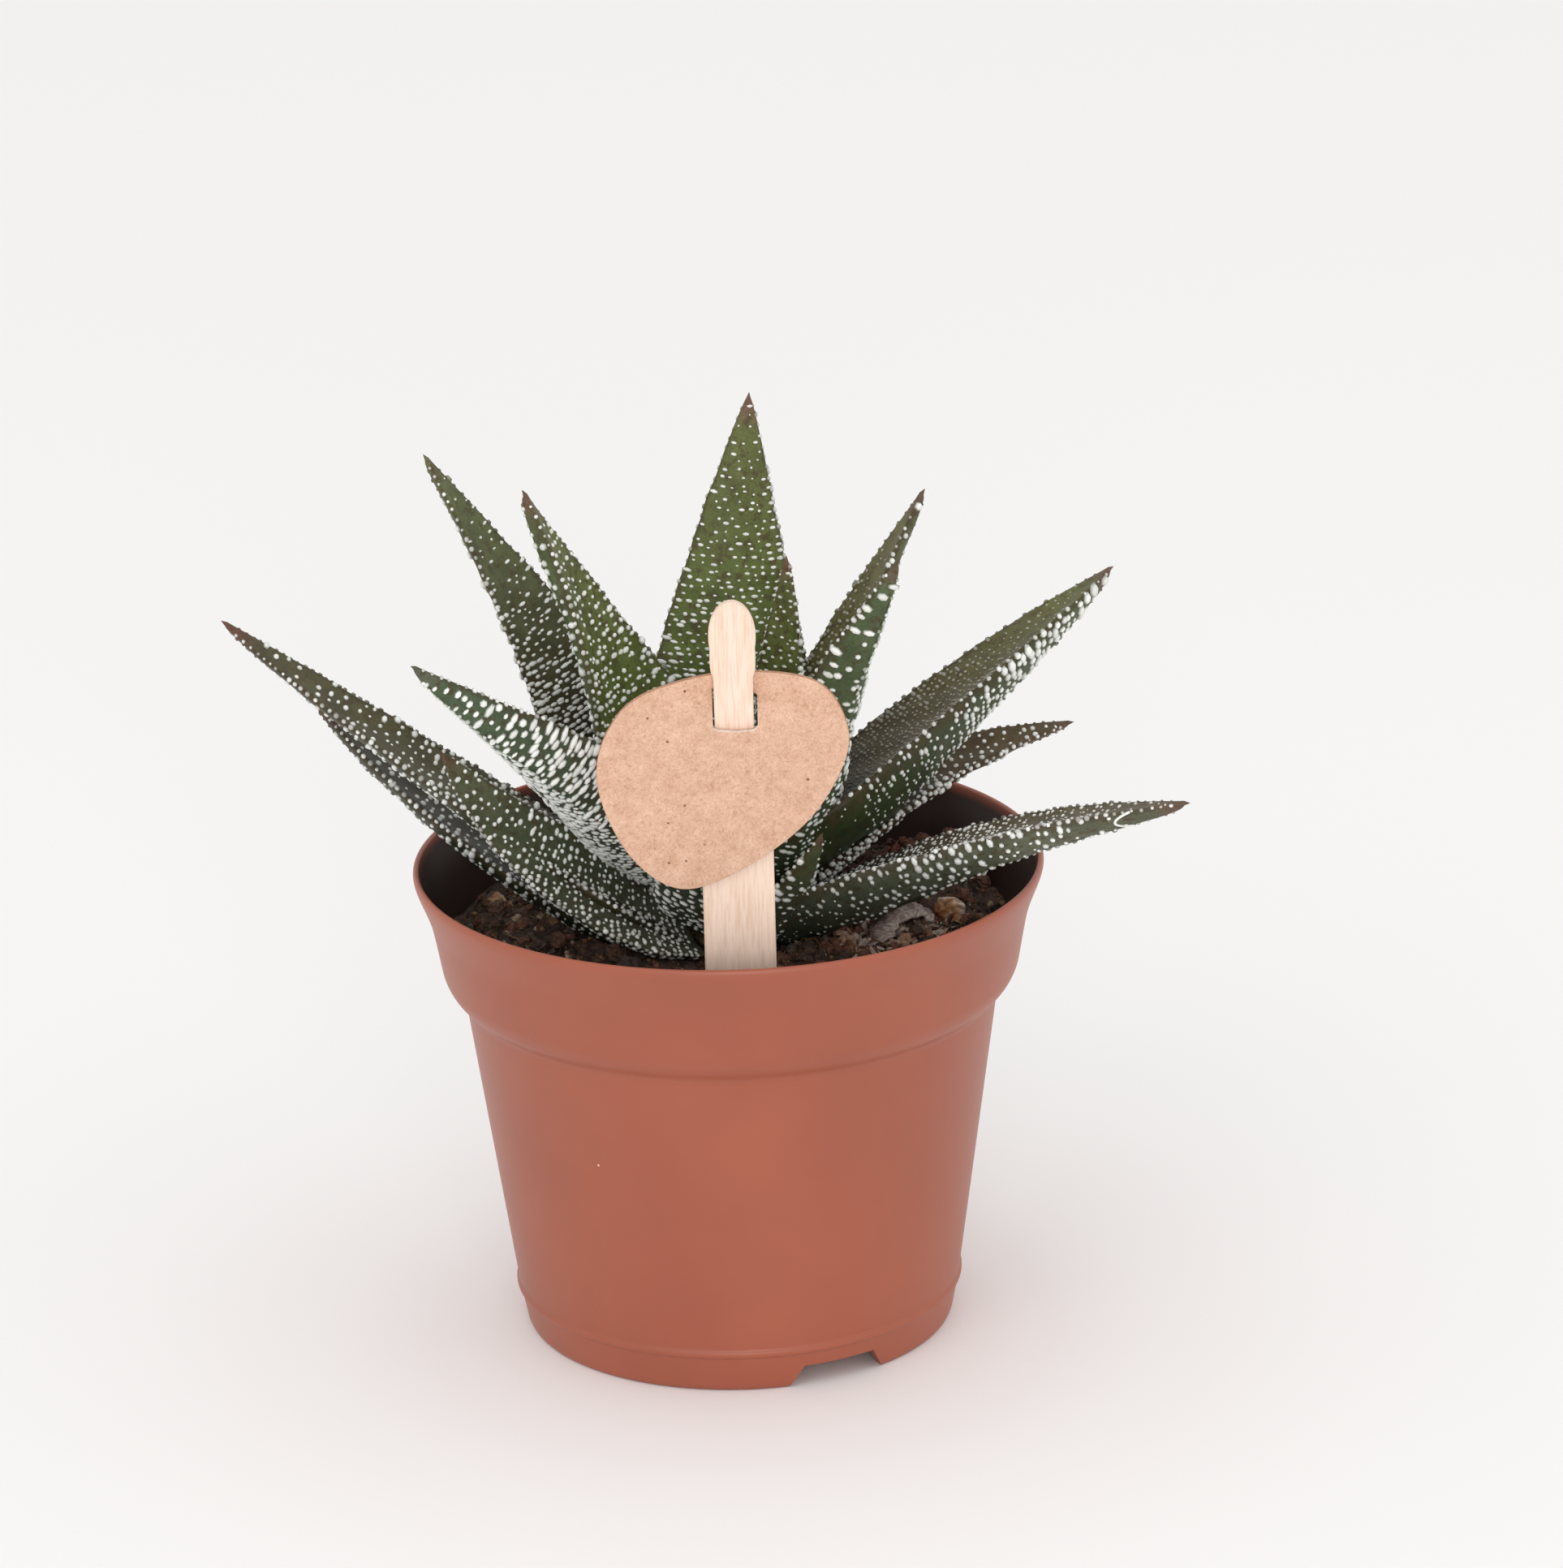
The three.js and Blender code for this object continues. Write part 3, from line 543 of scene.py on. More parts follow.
def half_width(leaf, t):
    """Half the leaf's width: a little narrower where it clasps the stem, and tapered to the tip."""
    clasp = 0.8 + 0.2 * np.minimum(t / CLASP_END, 1) ** 0.8
    taper = np.minimum(((1 - t) / TAPER_LENGTH) ** 0.88, 1)
    return TIP_HALF_WIDTH + leaf.width / 2 * clasp * taper


def depths(leaf, t):
    """How deep the keel hangs below the margins and how deep the upper face is channelled."""
    body = leaf.keel * leaf.width * (1 - t) ** 0.6 * (0.7 + 0.3 * np.minimum(t / KEEL_FULL, 1))
    return MARGIN_DEPTH + body, CHANNEL_SHARE * body * (1 - t) ** 0.3


def skin_at(leaf, lines, t, angle):
    """Points of the skin at the shares t and the angles round the section."""
    t = np.clip(t, 0, 1)
    keel, channel = depths(leaf, t)
    across, height = np.cos(angle), np.sin(angle)
    above = MARGIN_DEPTH * height - channel * (1 - np.abs(across) ** 1.6)
    below = -keel * 0.5 * (1 - height - np.abs(across))
    middle, side, up = (between(line, t) for line in lines)
    x = half_width(leaf, t) * across
    y = np.where(height > 0, above, below)
    return middle + side * x[:, None] + up * y[:, None]


def unit(vectors):
    return vectors / np.maximum(np.linalg.norm(vectors, axis=1, keepdims=True), 1e-9)


def directions_at(leaf, lines, t, angle):
    """The directions along the leaf, across it and outwards at points of the skin."""
    step = 0.004
    along = skin_at(leaf, lines, t + step, angle) - skin_at(leaf, lines, t - step, angle)
    around = skin_at(leaf, lines, t, angle + step) - skin_at(leaf, lines, t, angle - step)
    out = unit(np.cross(around, along))
    along = unit(along)
    return along, np.cross(out, along), out


# %% [markdown]
# ### The colour of a leaf
# The skin is green where it is young and shaded, olive to brown where the sun has stressed it, dark where
# it clasps the stem, and brown at the dry needle. The upper face is warmer than the underside. Each skin
# below names the upper face's colours at base, middle and top, the underside's three, and the needle's.
# They are mixed by a formula over t and the angle, and stored on the points for the materials to read.

# %% Skins of the leaves
Skin = namedtuple("Skin", "upper under needle")
SKINS = {
    "fresh": Skin(("#4C5A2B", "#667439", "#6E7446"), ("#46552F", "#5C6E40", "#66704A"), "#7B5F50"),
    "jade": Skin(("#4A4833", "#5E5A42", "#66664A"), ("#4A563E", "#566648", "#5E6C4E"), "#6E6050"),
    "slate": Skin(("#4A4838", "#5A5643", "#5E5E48"), ("#46503F", "#4C5746", "#586850"), "#67685A"),
    "mixed": Skin(("#463F28", "#5A5033", "#6E7045"), ("#3C4A2A", "#455237", "#556040"), "#7A6154"),
    "olive": Skin(("#45422A", "#666138", "#706C46"), ("#404830", "#545C3E", "#666848"), "#6F564A"),
    "weathered": Skin(("#3F3C28", "#575439", "#5E5A40"), ("#39402F", "#4A503C", "#54523C"), "#7A564A"),
    "dusky": Skin(("#3A2F26", "#4E4636", "#68704A"), ("#46422F", "#58563F", "#686C4C"), "#6F6A4E"),
    "russet": Skin(("#3E3224", "#5A4930", "#66563C"), ("#443C28", "#584C34", "#5C5038"), "#6F5A4E"),
    "mossy": Skin(("#403E31", "#625848", "#6E6650"), ("#525C4C", "#6E7464", "#6A6C5A"), "#6F5A4E"),
    # shaded: for two leaves in the rosette's shade, lighter at the base than in the middle, painted light.
    "shaded": Skin(("#66685A", "#545C48", "#5E624A"), ("#66685A", "#56604A", "#60664A"), "#66503F"),
    # deep: a darkened copy of a skin, painted shade for the leaf that lies under another leaf.
    "deep": Skin(("#2E3024", "#3C3E2C", "#50483A"), ("#2C3426", "#384232", "#4A4838"), "#66503F"),
}
STOPS = (0.05, 0.45, 0.85)
NEEDLE_START = 0.92
NEEDLE_FULL = 0.985
MARGIN_TONE = "#4C3A2A"
MARGIN_SHARE = 0.55


def ramp(shares, places, codes):
    """A colour for each share, mixed between hex colours that stand at these places."""
    table = np.array([linear(code) for code in codes])
    return np.stack([np.interp(shares, places, channel) for channel in table.T], 1)


def smooth_step(values, low, high):
    """0 up to low, 1 from high on and a smooth rise between."""
    share = np.clip((values - low) / (high - low), 0, 1)
    return share * share * (3 - 2 * share)


def skin_colour(leaf, t, angle):
    skin = SKINS[leaf.skin]
    upper = smooth_step(np.sin(angle), -0.25, 0.25)[:, None]
    margin = MARGIN_SHARE * smooth_step(np.abs(np.cos(angle)), 0.86, 1.0)[:, None]
    needle = smooth_step(t, NEEDLE_START, NEEDLE_FULL)[:, None]
    colour = mixed(ramp(t, STOPS, skin.under), ramp(t, STOPS, skin.upper), upper)
    colour = mixed(colour, np.array(linear(MARGIN_TONE)), margin)
    return mixed(colour, np.array(linear(skin.needle)), needle)


print("skins:", ", ".join(SKINS))

# %% [markdown]
# ### The skin as a mesh
# The skin is a tube of rings that closes at the base and at the needle, with the rings a little closer
# together towards the needle. A slow unevenness, about 8 mm from crest to crest, keeps it from looking
# turned on a machine.

# %% Weave the skin
STATIONS = 90
AROUND = 40
CROWDING = 1.15
UNEVEN = 0.18
SWELLS = np.array([[0.41, 0.33, 0.52], [-0.37, 0.49, 0.29]])
NEEDLE_LENGTH = 0.9


def unevenness(points, t):
    """A slow rise and fall of the skin in millimetres, which fades out towards the needle."""
    first, second = (points @ swell for swell in SWELLS)
    return UNEVEN * np.sin(first) * np.cos(second) * smooth_step(1 - t, 0.02, 0.3)


def weave_skin(leaf, lines):
    """The skin's points, from the root to the needle's end, with its triangles and its colours."""
    t = np.repeat(1 - (1 - np.linspace(0, 1, STATIONS)) ** CROWDING, AROUND)
    angle = np.tile(np.arange(AROUND) * TURN / AROUND, STATIONS)
    points = skin_at(leaf, lines, t, angle)
    out = directions_at(leaf, lines, t, angle)[2]
    points = points + out * unevenness(points, t)[:, None]
    middle, side, up = lines
    root = middle[0] - up[0] * sum(depths(leaf, 0.0)) / 2
    tip = middle[-1] + np.cross(side[-1], up[-1]) * NEEDLE_LENGTH
    points = np.concatenate([[root], points, [tip]])
    colours = skin_colour(leaf, np.concatenate([[0], t, [1]]), np.concatenate([[0], angle, [0]]))
    return points, tube_triangles(STATIONS, AROUND), colours


# %% [markdown]
# ### Where the warts grow
# The white warts stand in loose bands across the leaf. They are small and crowded near the base, where they
# run together into short bars, and larger and further apart towards the tip. A rule gives, at base, middle
# and tip, the wart's radius along the leaf, how much longer it is across, the pitch between warts, the
# share of places that are filled, and how white they are. Each band is laid out by length round the
# section, so that the pitch is true on the steep sides too. The margins and the outer part of the keel
# carry a close row of their own, which makes their toothed edges.

# %% Rules for the warts
Rule = namedtuple("Rule", "radius stretch pitch filled white")
PLACES = (0.08, 0.5, 0.92)
RULES = {
    "bold": Rule((0.34, 0.48, 0.54), (1.5, 1.4, 1.35), (1.2, 1.65, 2.2),
                 (0.97, 0.95, 0.9), (1.0, 1.0, 1.0)),
    "barred": Rule((0.34, 0.44, 0.5), (2.3, 2.1, 1.15), (0.88, 1.05, 1.6),
                   (1.0, 1.0, 0.97), (1.0, 1.0, 1.0)),
    "graded": Rule((0.18, 0.38, 0.68), (1.2, 1.3, 1.2), (1.15, 1.2, 1.58),
                   (0.1, 0.95, 0.97), (0.6, 1.0, 1.0)),
    # large: the smaller, fewer warts at the base are real; their greyer white there is painted shade.
    "large": Rule((0.2, 0.42, 0.42), (1.5, 1.6, 1.2), (1.2, 1.4, 1.9),
                  (0.5, 0.93, 0.7), (0.6, 1.0, 1.0)),
    "sparse": Rule((0.34, 0.4, 0.4), (1.5, 1.4, 1.2), (1.3, 1.5, 1.85),
                   (0.9, 0.92, 0.8), (0.9, 1.0, 1.0)),
    "crowded": Rule((0.29, 0.34, 0.34), (1.6, 1.5, 1.2), (1.0, 1.12, 1.5),
                    (0.92, 0.97, 0.92), (0.9, 1.0, 1.0)),
    "dots": Rule((0.34, 0.38, 0.34), (1.5, 1.4, 1.2), (1.1, 1.25, 1.55),
                 (0.97, 0.97, 0.9), (1.0, 1.0, 1.0)),
    "dashes": Rule((0.24, 0.26, 0.2), (1.9, 1.7, 1.4), (0.94, 1.0, 1.3),
                   (0.97, 0.95, 0.8), (1.0, 1.0, 0.9)),
    "rows": Rule((0.28, 0.31, 0.2), (2.5, 2.3, 1.6), (0.86, 0.88, 1.4),
                 (1.0, 1.0, 0.4), (1.0, 1.0, 0.8)),
    "bumpy": Rule((0.24, 0.27, 0.22), (1.2, 1.2, 1.2), (0.88, 0.95, 1.35),
                  (0.97, 0.95, 0.5), (0.1, 0.26, 0.32)),
    "fine": Rule((0.25, 0.27, 0.24), (1.4, 1.4, 1.3), (0.95, 0.95, 1.25),
                 (0.97, 0.95, 0.65), (0.85, 0.95, 0.8)),
}
print("rules:", ", ".join(RULES))

# %% Lay out the warts of a face
# The bands start and end this many millimetres from the base and the tip. A wart wanders by a share of the
# pitch, and each spread is the range of factors that a size, a length or a whiteness is multiplied by.
FACE_SAMPLES = 33
FACE_EDGE = 0.12
FIRST_BAND = 1.5
LAST_BAND = 1.0
WANDER = 0.16
SIZE_SPREAD = (0.6, 1.35)
STRETCH_SPREAD = (0.6, 1.45)
WHITE_SPREAD = (0.75, 1.1)


def face_angles(leaf, lines, t, upper):
    """Angles across one face at t, and how far each lies along the skin from the first."""
    angles = np.linspace(FACE_EDGE, math.pi - FACE_EDGE, FACE_SAMPLES) * (1 if upper else -1)
    points = skin_at(leaf, lines, np.full(FACE_SAMPLES, t), angles)
    lengths = np.concatenate([[0], np.cumsum(np.linalg.norm(np.diff(points, axis=0), axis=1))])
    return angles, lengths


def face_warts(leaf, lines, rule, upper, draw):
    """Rows of (t, angle, radius, stretch, white) over one face."""
    rows = []
    distance, band = FIRST_BAND, 0
    while distance < leaf.length - LAST_BAND:
        t = distance / leaf.length
        radius, stretch, pitch, filled, white = (np.interp(t, PLACES, values) for values in rule)
        angles, lengths = face_angles(leaf, lines, t, upper)
        step = pitch * (0.55 + 0.45 * stretch)
        count = max(int(lengths[-1] / step), 1)
        for n in range(count):
            if draw.random() > filled:
                continue
            place = (n + 0.5 + 0.25 * (band % 2) + draw.normal(0, WANDER)) * lengths[-1] / count
            shift = draw.normal(0, WANDER) * pitch / leaf.length
            beside_margin = abs(2 * place / lengths[-1] - 1) ** 3
            size = radius * draw.uniform(*SIZE_SPREAD) * (0.95 + 0.35 * beside_margin)
            longer = stretch * draw.uniform(*STRETCH_SPREAD)
            whiteness = np.clip(white * draw.uniform(*WHITE_SPREAD), 0, 1)
            rows.append((t + shift, np.interp(place, lengths, angles), size, longer, whiteness))
        distance += pitch * draw.uniform(0.9, 1.1)
        band += 1
    return rows


# %% Lay out the rows on the margins and the keel
# Each edge has its angle round the section and the share of the leaf where its row starts.
EDGES = [(0.0, 0.0), (math.pi, 0.0), (-math.pi / 2, 0.35)]
EDGE_END = 0.985
EDGE_RADIUS = 0.42
SMALLER_FROM = 0.85
SMALLER = 0.7


def margin_warts(leaf, draw):
    """Rows of warts along both margins from the base, and along the keel from a third of the way."""
    rows = []
    for edge, start in EDGES:
        distance = FIRST_BAND + start * leaf.length
        while distance < leaf.length * EDGE_END:
            t = distance / leaf.length
            size = EDGE_RADIUS * draw.uniform(0.8, 1.2) * (1.0 if t < SMALLER_FROM else SMALLER)
            angle = edge + draw.normal(0, 0.04)
            rows.append((t, angle, size, draw.uniform(0.75, 1.1), draw.uniform(0.3, 1.0)))
            distance += leaf.edge * draw.uniform(0.8, 1.2)
    return rows


# %% Lay out the healed scar
# Its place and depth are shares of the leaf's length, and its start and arc are angles round the section.
SCARRED_LEAF = 20
SCAR_PLACE = 0.885
SCAR_DEPTH = 0.035
SCAR_START = 0.1 - math.pi
SCAR_ARC = 1.5
SCAR_WARTS = 30
SCAR_RADIUS = 0.26


def scar():
    """A crescent over the front half of the underside near the tip, of small white warts that touch."""
    rows = []
    for part in np.linspace(0, 1, SCAR_WARTS):
        t = SCAR_PLACE - SCAR_DEPTH * math.sin(math.pi * part)
        rows.append((t, SCAR_START + SCAR_ARC * part, SCAR_RADIUS, 1.0, 1.0))
    return rows


# %% [markdown]
# ### A wart
# A wart is a low dome, mostly longer across the leaf than along it. Its rim is a little below the skin, so
# no gap shows, and it is closed underneath. Six sides are enough at this size, because the dome is shaded
# smooth. The stored value white is full on the dome and little at the rim, so the wart fades into the skin
# as the real one does.

# %% Raise the warts from the skin
WART_SIDES = 6
DOME = [(0.68, 0.72, 1.0), (1.05, -0.15, 0.3)]
DOME_UNDERSIDE = -0.7
DOME_HEIGHT = 0.65


def wart_template():
    """Unit dome as (along, across, out) with the share of white of each point, and its triangles."""
    points, white = [(0, 0, 1)], [1.0]
    for radius, height, share in DOME:
        points += ring(radius, height, WART_SIDES)
        white += [share] * WART_SIDES
    points.append((0, 0, DOME_UNDERSIDE))
    white.append(0.0)
    # The dome's rings go down from its top, so the triangles are turned to face outwards.
    return np.array(points, float), np.array(white), tube_triangles(len(DOME), WART_SIDES)[:, ::-1]


def raise_warts(leaf, lines, rows):
    """The points, triangles, skin colours and whites of all the leaf's warts."""
    t, angle, radius, stretch, white = np.array(rows).T
    shape, shape_white, shape_triangles = wart_template()
    centre = skin_at(leaf, lines, t, angle)
    along, across, out = directions_at(leaf, lines, t, angle)
    centre = centre + out * unevenness(centre, t)[:, None]
    sizes = [radius, radius * stretch, radius * DOME_HEIGHT]
    points = centre[:, None, :] + sum(
        axis[:, None, :] * (size[:, None] * shape[None, :, n])[:, :, None]
        for n, (axis, size) in enumerate(zip((along, across, out), sizes))
    )
    count = len(shape)
    triangles = shape_triangles[None] + (np.arange(len(t)) * count)[:, None, None]
    colour = np.repeat(skin_colour(leaf, np.clip(t, 0, 1), angle), count, axis=0)
    shares = (white[:, None] * shape_white[None]).ravel()
    return points.reshape(-1, 3), triangles.reshape(-1, 3), colour, shares


# %% [markdown]
# ### Waxy skin and white warts
# A succulent's skin is a thin, waxy cuticle over wet tissue, with an IOR near 1.45. The wax is powdery, so
# the highlight is broad and weaker than that of a smooth surface. The green is mottled over 2 to 5 mm,
# flecked with brown dead cells and finely grained at 0.3 mm. The warts are dead, air-filled cells, so they
# are white, matt and slightly chalky.

# %% Leaf skin and wart materials
def shaded(tree, tone, pattern, share, stops):
    """A tone darkened by this share of a pattern, whose values are graded between the stops."""
    shade = add(tree, "ShaderNodeValToRGB", {"Fac": pattern.outputs["Fac"]}, stops=stops)
    darker = add(tree, "ShaderNodeMix", {0: share, 6: tone, 7: shade.outputs["Color"]},
                 data_type="RGBA", blend_type="MULTIPLY")
    return darker.outputs[2]


def leaf_skin():
    material, tree, shader = new_material("waxy_leaf_skin")
    place = add(tree, "ShaderNodeTexCoord").outputs["Object"]
    skin = add(tree, "ShaderNodeAttribute", attribute_name="skin").outputs["Color"]
    blotches = add(tree, "ShaderNodeTexNoise",
                   {"Vector": place, "Scale": 260.0, "Detail": 4.0, "Roughness": 0.6})
    mottled = shaded(tree, skin, blotches, 1.0, [(0.32, "#CDCEC2"), (0.68, "#FFFFFA")])
    # Brown flecks of dead cells, 0.3 to 0.8 mm long.
    patches = add(tree, "ShaderNodeTexNoise",
                  {"Vector": place, "Scale": 850.0, "Detail": 3.0, "Roughness": 0.6})
    dead = add(tree, "ShaderNodeMapRange",
               {"Value": patches.outputs["Fac"], "From Min": 0.54, "From Max": 0.62, "To Max": 0.65})
    flecked = add(tree, "ShaderNodeMix", {0: dead.outputs[0], 6: mottled, 7: linear("#4E3D2A")},
                  data_type="RGBA")
    pores = add(tree, "ShaderNodeTexNoise", {"Vector": place, "Scale": 3200.0, "Detail": 2.0})
    grained = shaded(tree, flecked.outputs[2], pores, 0.8, [(0.35, "#DCDCD6"), (0.65, "#FFFFFF")])
    relief = add(tree, "ShaderNodeBump",
                 {"Height": pores.outputs["Fac"], "Strength": 0.25, "Distance": 0.00006})
    gloss = add(tree, "ShaderNodeMapRange",
                {"Value": blotches.outputs["Fac"], "To Min": 0.45, "To Max": 0.62})
    plug(tree, shader, {
        "Base Color": grained, "Roughness": gloss.outputs[0], "Normal": relief.outputs["Normal"],
        "IOR": 1.45, "Specular IOR Level": 0.28,
    })
    return material


def chalky_wart():
    material, tree, shader = new_material("chalky_wart")
    skin = add(tree, "ShaderNodeAttribute", attribute_name="skin").outputs["Color"]
    white = add(tree, "ShaderNodeAttribute", attribute_name="white").outputs["Fac"]
    face = add(tree, "ShaderNodeMix", {0: white, 6: skin, 7: linear("#F2F3EE")}, data_type="RGBA")
    plug(tree, shader, {"Base Color": face.outputs[2], "Roughness": 0.6, "IOR": 1.45})
    return material


# %% Grow every leaf
LEAF_MATERIALS = [leaf_skin(), chalky_wart()]


def grow_leaf(number, leaf):
    """Make a leaf with its warts, and return how many warts and triangles it has."""
    draw = np.random.default_rng(100 + number)
    lines = spine(leaf)
    skin_points, skin_triangles, skin_colours = weave_skin(leaf, lines)
    rows = face_warts(leaf, lines, RULES[leaf.under], False, draw)
    rows += face_warts(leaf, lines, RULES[leaf.upper], True, draw)
    rows += margin_warts(leaf, draw)
    if number == SCARRED_LEAF:
        rows += scar()
    wart_points, wart_triangles, wart_colours, wart_white = raise_warts(leaf, lines, rows)
    points, triangles = join([(skin_points, skin_triangles), (wart_points, wart_triangles)])
    stored = {
        "skin": np.concatenate([skin_colours, wart_colours]),
        "white": np.concatenate([np.zeros(len(skin_points)), wart_white]),
    }
    picks = [0] * len(skin_triangles) + [1] * len(wart_triangles)
    node = f"leaf_{number:02d}"
    piece = make_piece(f"warty_{node}", points, triangles, LEAF_MATERIALS, stored, picks)
    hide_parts(node)
    return len(rows), len(triangles)


grown = [grow_leaf(number, leaf) for number, leaf in enumerate(LEAVES, start=1)]
print("warts:", sum(count for count, _ in grown), "leaf triangles:", sum(count for _, count in grown))
print("most triangles on one leaf:", max(count for _, count in grown))

# %% [markdown]
# ## The peat
# Potting peat is dark, damp and crumbly. Seen close it is three things: an uneven bed, loose crumbs of
# every size and fine fibres. A bump map alone looks like painted cardboard here, so all three are real
# geometry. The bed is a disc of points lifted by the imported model's own surface formula and by a fractal
# noise on top. It is closed down the pot's wall and across its floor, so that it is one solid body of peat.

# %% The peat's level
SOIL_HEIGHT = 58.0
WAVE_HEIGHT = 0.48
HEAP_PLACE = (31.0, 22.0)
HEAP_RISE = 5.5
HEAP_SPREAD = 6.0
HOLLOW_DEPTH = 1.2
HOLLOW_REACH = 14.0
HOLLOW_SLOPE = 8.0
CRUMBLE = 1.1
LUMPS_PER_MM = 0.42
PITS_PER_MM = 0.55


def peat_level(x, y):
    """The height of the peat without its crumbs: waves, a heap at the back right and a hollow at the stem."""
    waves = np.sin(0.31 * x + 1.3) * np.cos(0.27 * y - 0.4) + 0.7 * np.sin(0.62 * x - 0.5 * y + 2.1)
    waves = waves + 0.5 * np.sin(0.95 * y + 0.4 * x)
    from_heap = (x - HEAP_PLACE[0]) ** 2 + (y - HEAP_PLACE[1]) ** 2
    heap = HEAP_RISE * np.exp(-from_heap / (2 * HEAP_SPREAD ** 2))
    hollow = HOLLOW_DEPTH * np.clip((HOLLOW_REACH - np.hypot(x, y)) / HOLLOW_SLOPE, 0, 1)
    return SOIL_HEIGHT + WAVE_HEIGHT * waves + heap - hollow


def crumble(x, y):
    """Small lumps and pits in the bed at one place, in millimetres."""
    lumps = noise.fractal(Vector((x * LUMPS_PER_MM, y * LUMPS_PER_MM, 4.0)), 0.9, 2.1, 4)
    pits = noise.voronoi(Vector((x * PITS_PER_MM, y * PITS_PER_MM, 1.0)))[0][0]
    return CRUMBLE * (0.75 * lumps - 0.9 * pits + 0.25)


# %% The peat's bed
BED_RINGS = 84
BED_SECTORS = 300
RING_CROWDING = 0.8
RIM_READ_AT = 40.0
WALL_RINGS = (54.8, 50.6, FLOOR_TOP + 0.05)
BED_TONES = ("#42342D", "#5A463C", "#705244")
TONES_PER_MM = 0.35


def peat_bed():
    """The bed's points, triangles and tones: rough on top, then down the pot's wall and across its floor."""
    angles = np.arange(BED_SECTORS) * TURN / BED_SECTORS
    rim_levels = [peat_level(RIM_READ_AT * math.cos(a), RIM_READ_AT * math.sin(a)) for a in angles]
    rim = wall_radius(np.array(rim_levels))
    points = [(0.0, 0.0, peat_level(0.0, 0.0))]
    for step in range(1, BED_RINGS + 1):
        for angle, reach in zip(angles, rim * (step / BED_RINGS) ** RING_CROWDING):
            x, y = reach * math.cos(angle), reach * math.sin(angle)
            points.append((x, y, peat_level(x, y) + crumble(x, y)))
    for height in WALL_RINGS:
        points += ring(wall_radius(height), height, BED_SECTORS)
    points.append((0.0, 0.0, WALL_RINGS[-1]))
    clouds = [noise.noise(Vector((x * TONES_PER_MM, y * TONES_PER_MM, 9.0))) for x, y, _ in points]
    tones = ramp(0.5 + 0.5 * np.array(clouds), (0.25, 0.5, 0.75), BED_TONES)
    # The rings go outwards and down, so the triangles are turned to face outwards.
    return points, tube_triangles(BED_RINGS + len(WALL_RINGS), BED_SECTORS)[:, ::-1], tones


# %% [markdown]
# ### Crumbs and fibres
# The crumbs are lumps from under half a millimetre to nearly 4 mm across, each with its own shape, turned
# at random and half sunk in the bed. Most are dark brown, some reddish, a few are tan bits of bark or pale
# grains. At the right lies a litter of flat, pale, dry bits, and on the heap at the back right more reddish
# ones. The fibres are undecayed roots and moss stalks, drawn as thin bent stalks that lie on the crumbs. A
# crumb that would fall inside a leaf or the stick is left out.

# %% A crumb's shape
def ball(steps):
    """An icosphere's points and triangles, on a radius of 1."""
    golden = (1 + math.sqrt(5)) / 2
    points = []
    for a in (-1, 1):
        for b in (-golden, golden):
            points += [(a, b, 0), (0, a, b), (b, 0, a)]
    points = [Vector(p).normalized() for p in points]
    edge = min((points[0] - p).length for p in points[1:])
    triangles = []
    for i, j, k in combinations(range(12), 3):
        a, b, c = points[i], points[j], points[k]
        if max((a - b).length, (b - c).length, (a - c).length) < edge * 1.1:
            outwards = (b - a).cross(c - a).dot(a) > 0
            triangles.append((i, j, k) if outwards else (i, k, j))
    for _ in range(steps):
        middles, finer = {}, []

        def middle(a, b):
            key = (min(a, b), max(a, b))
            if key not in middles:
                middles[key] = len(points)
                points.append((points[a] + points[b]).normalized())
            return middles[key]

        for a, b, c in triangles:
            ab, bc, ca = middle(a, b), middle(b, c), middle(c, a)
            finer += [(a, ab, ca), (ab, b, bc), (ca, bc, c), (ab, bc, ca)]
        triangles = finer
    return np.array(points), np.array(triangles)


def random_turn(draw):
    """A rotation matrix from a random unit quaternion."""
    direction = draw.normal(size=4)
    w, x, y, z = direction / np.linalg.norm(direction)
    return np.array([
        [1 - 2 * (y * y + z * z), 2 * (x * y - z * w), 2 * (x * z + y * w)],
        [2 * (x * y + z * w), 1 - 2 * (x * x + z * z), 2 * (y * z - x * w)],
        [2 * (x * z - y * w), 2 * (y * z + x * w), 1 - 2 * (x * x + y * y)],
    ])


# %% Where crumbs may lie
def packed_tree(names):
    """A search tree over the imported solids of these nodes, in millimetres round the pot's axis."""
    points, faces = [], []
    for name in names:
        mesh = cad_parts[name].data
        first = len(points)
        points += [Vector(((np.array(vertex.co) - AXIS) / MM).tolist()) for vertex in mesh.vertices]
        faces += [[first + n for n in polygon.vertices] for polygon in mesh.polygons]
    return BVHTree.FromPolygons(points, faces)


STANDING = packed_tree([f"leaf_{number:02d}" for number in range(1, len(LEAVES) + 1)] + ["wooden_stick"])


def is_free(point, room):
    """Whether a ball with this radius round the point keeps out of the leaves and the stick, or nearly so."""
    place, normal, _, distance = STANDING.find_nearest(Vector(point))
    outside = (Vector(point) - place).dot(normal) > 0.35 * distance
    return distance > room or (outside and distance > 0.4 * room)


def on_disc(draw, reach, middle=(0.0, 0.0)):
    """A random place on a level disc."""
    radius, angle = reach * math.sqrt(draw.random()), TURN * draw.random()
    return middle[0] + radius * math.cos(angle), middle[1] + radius * math.sin(angle)


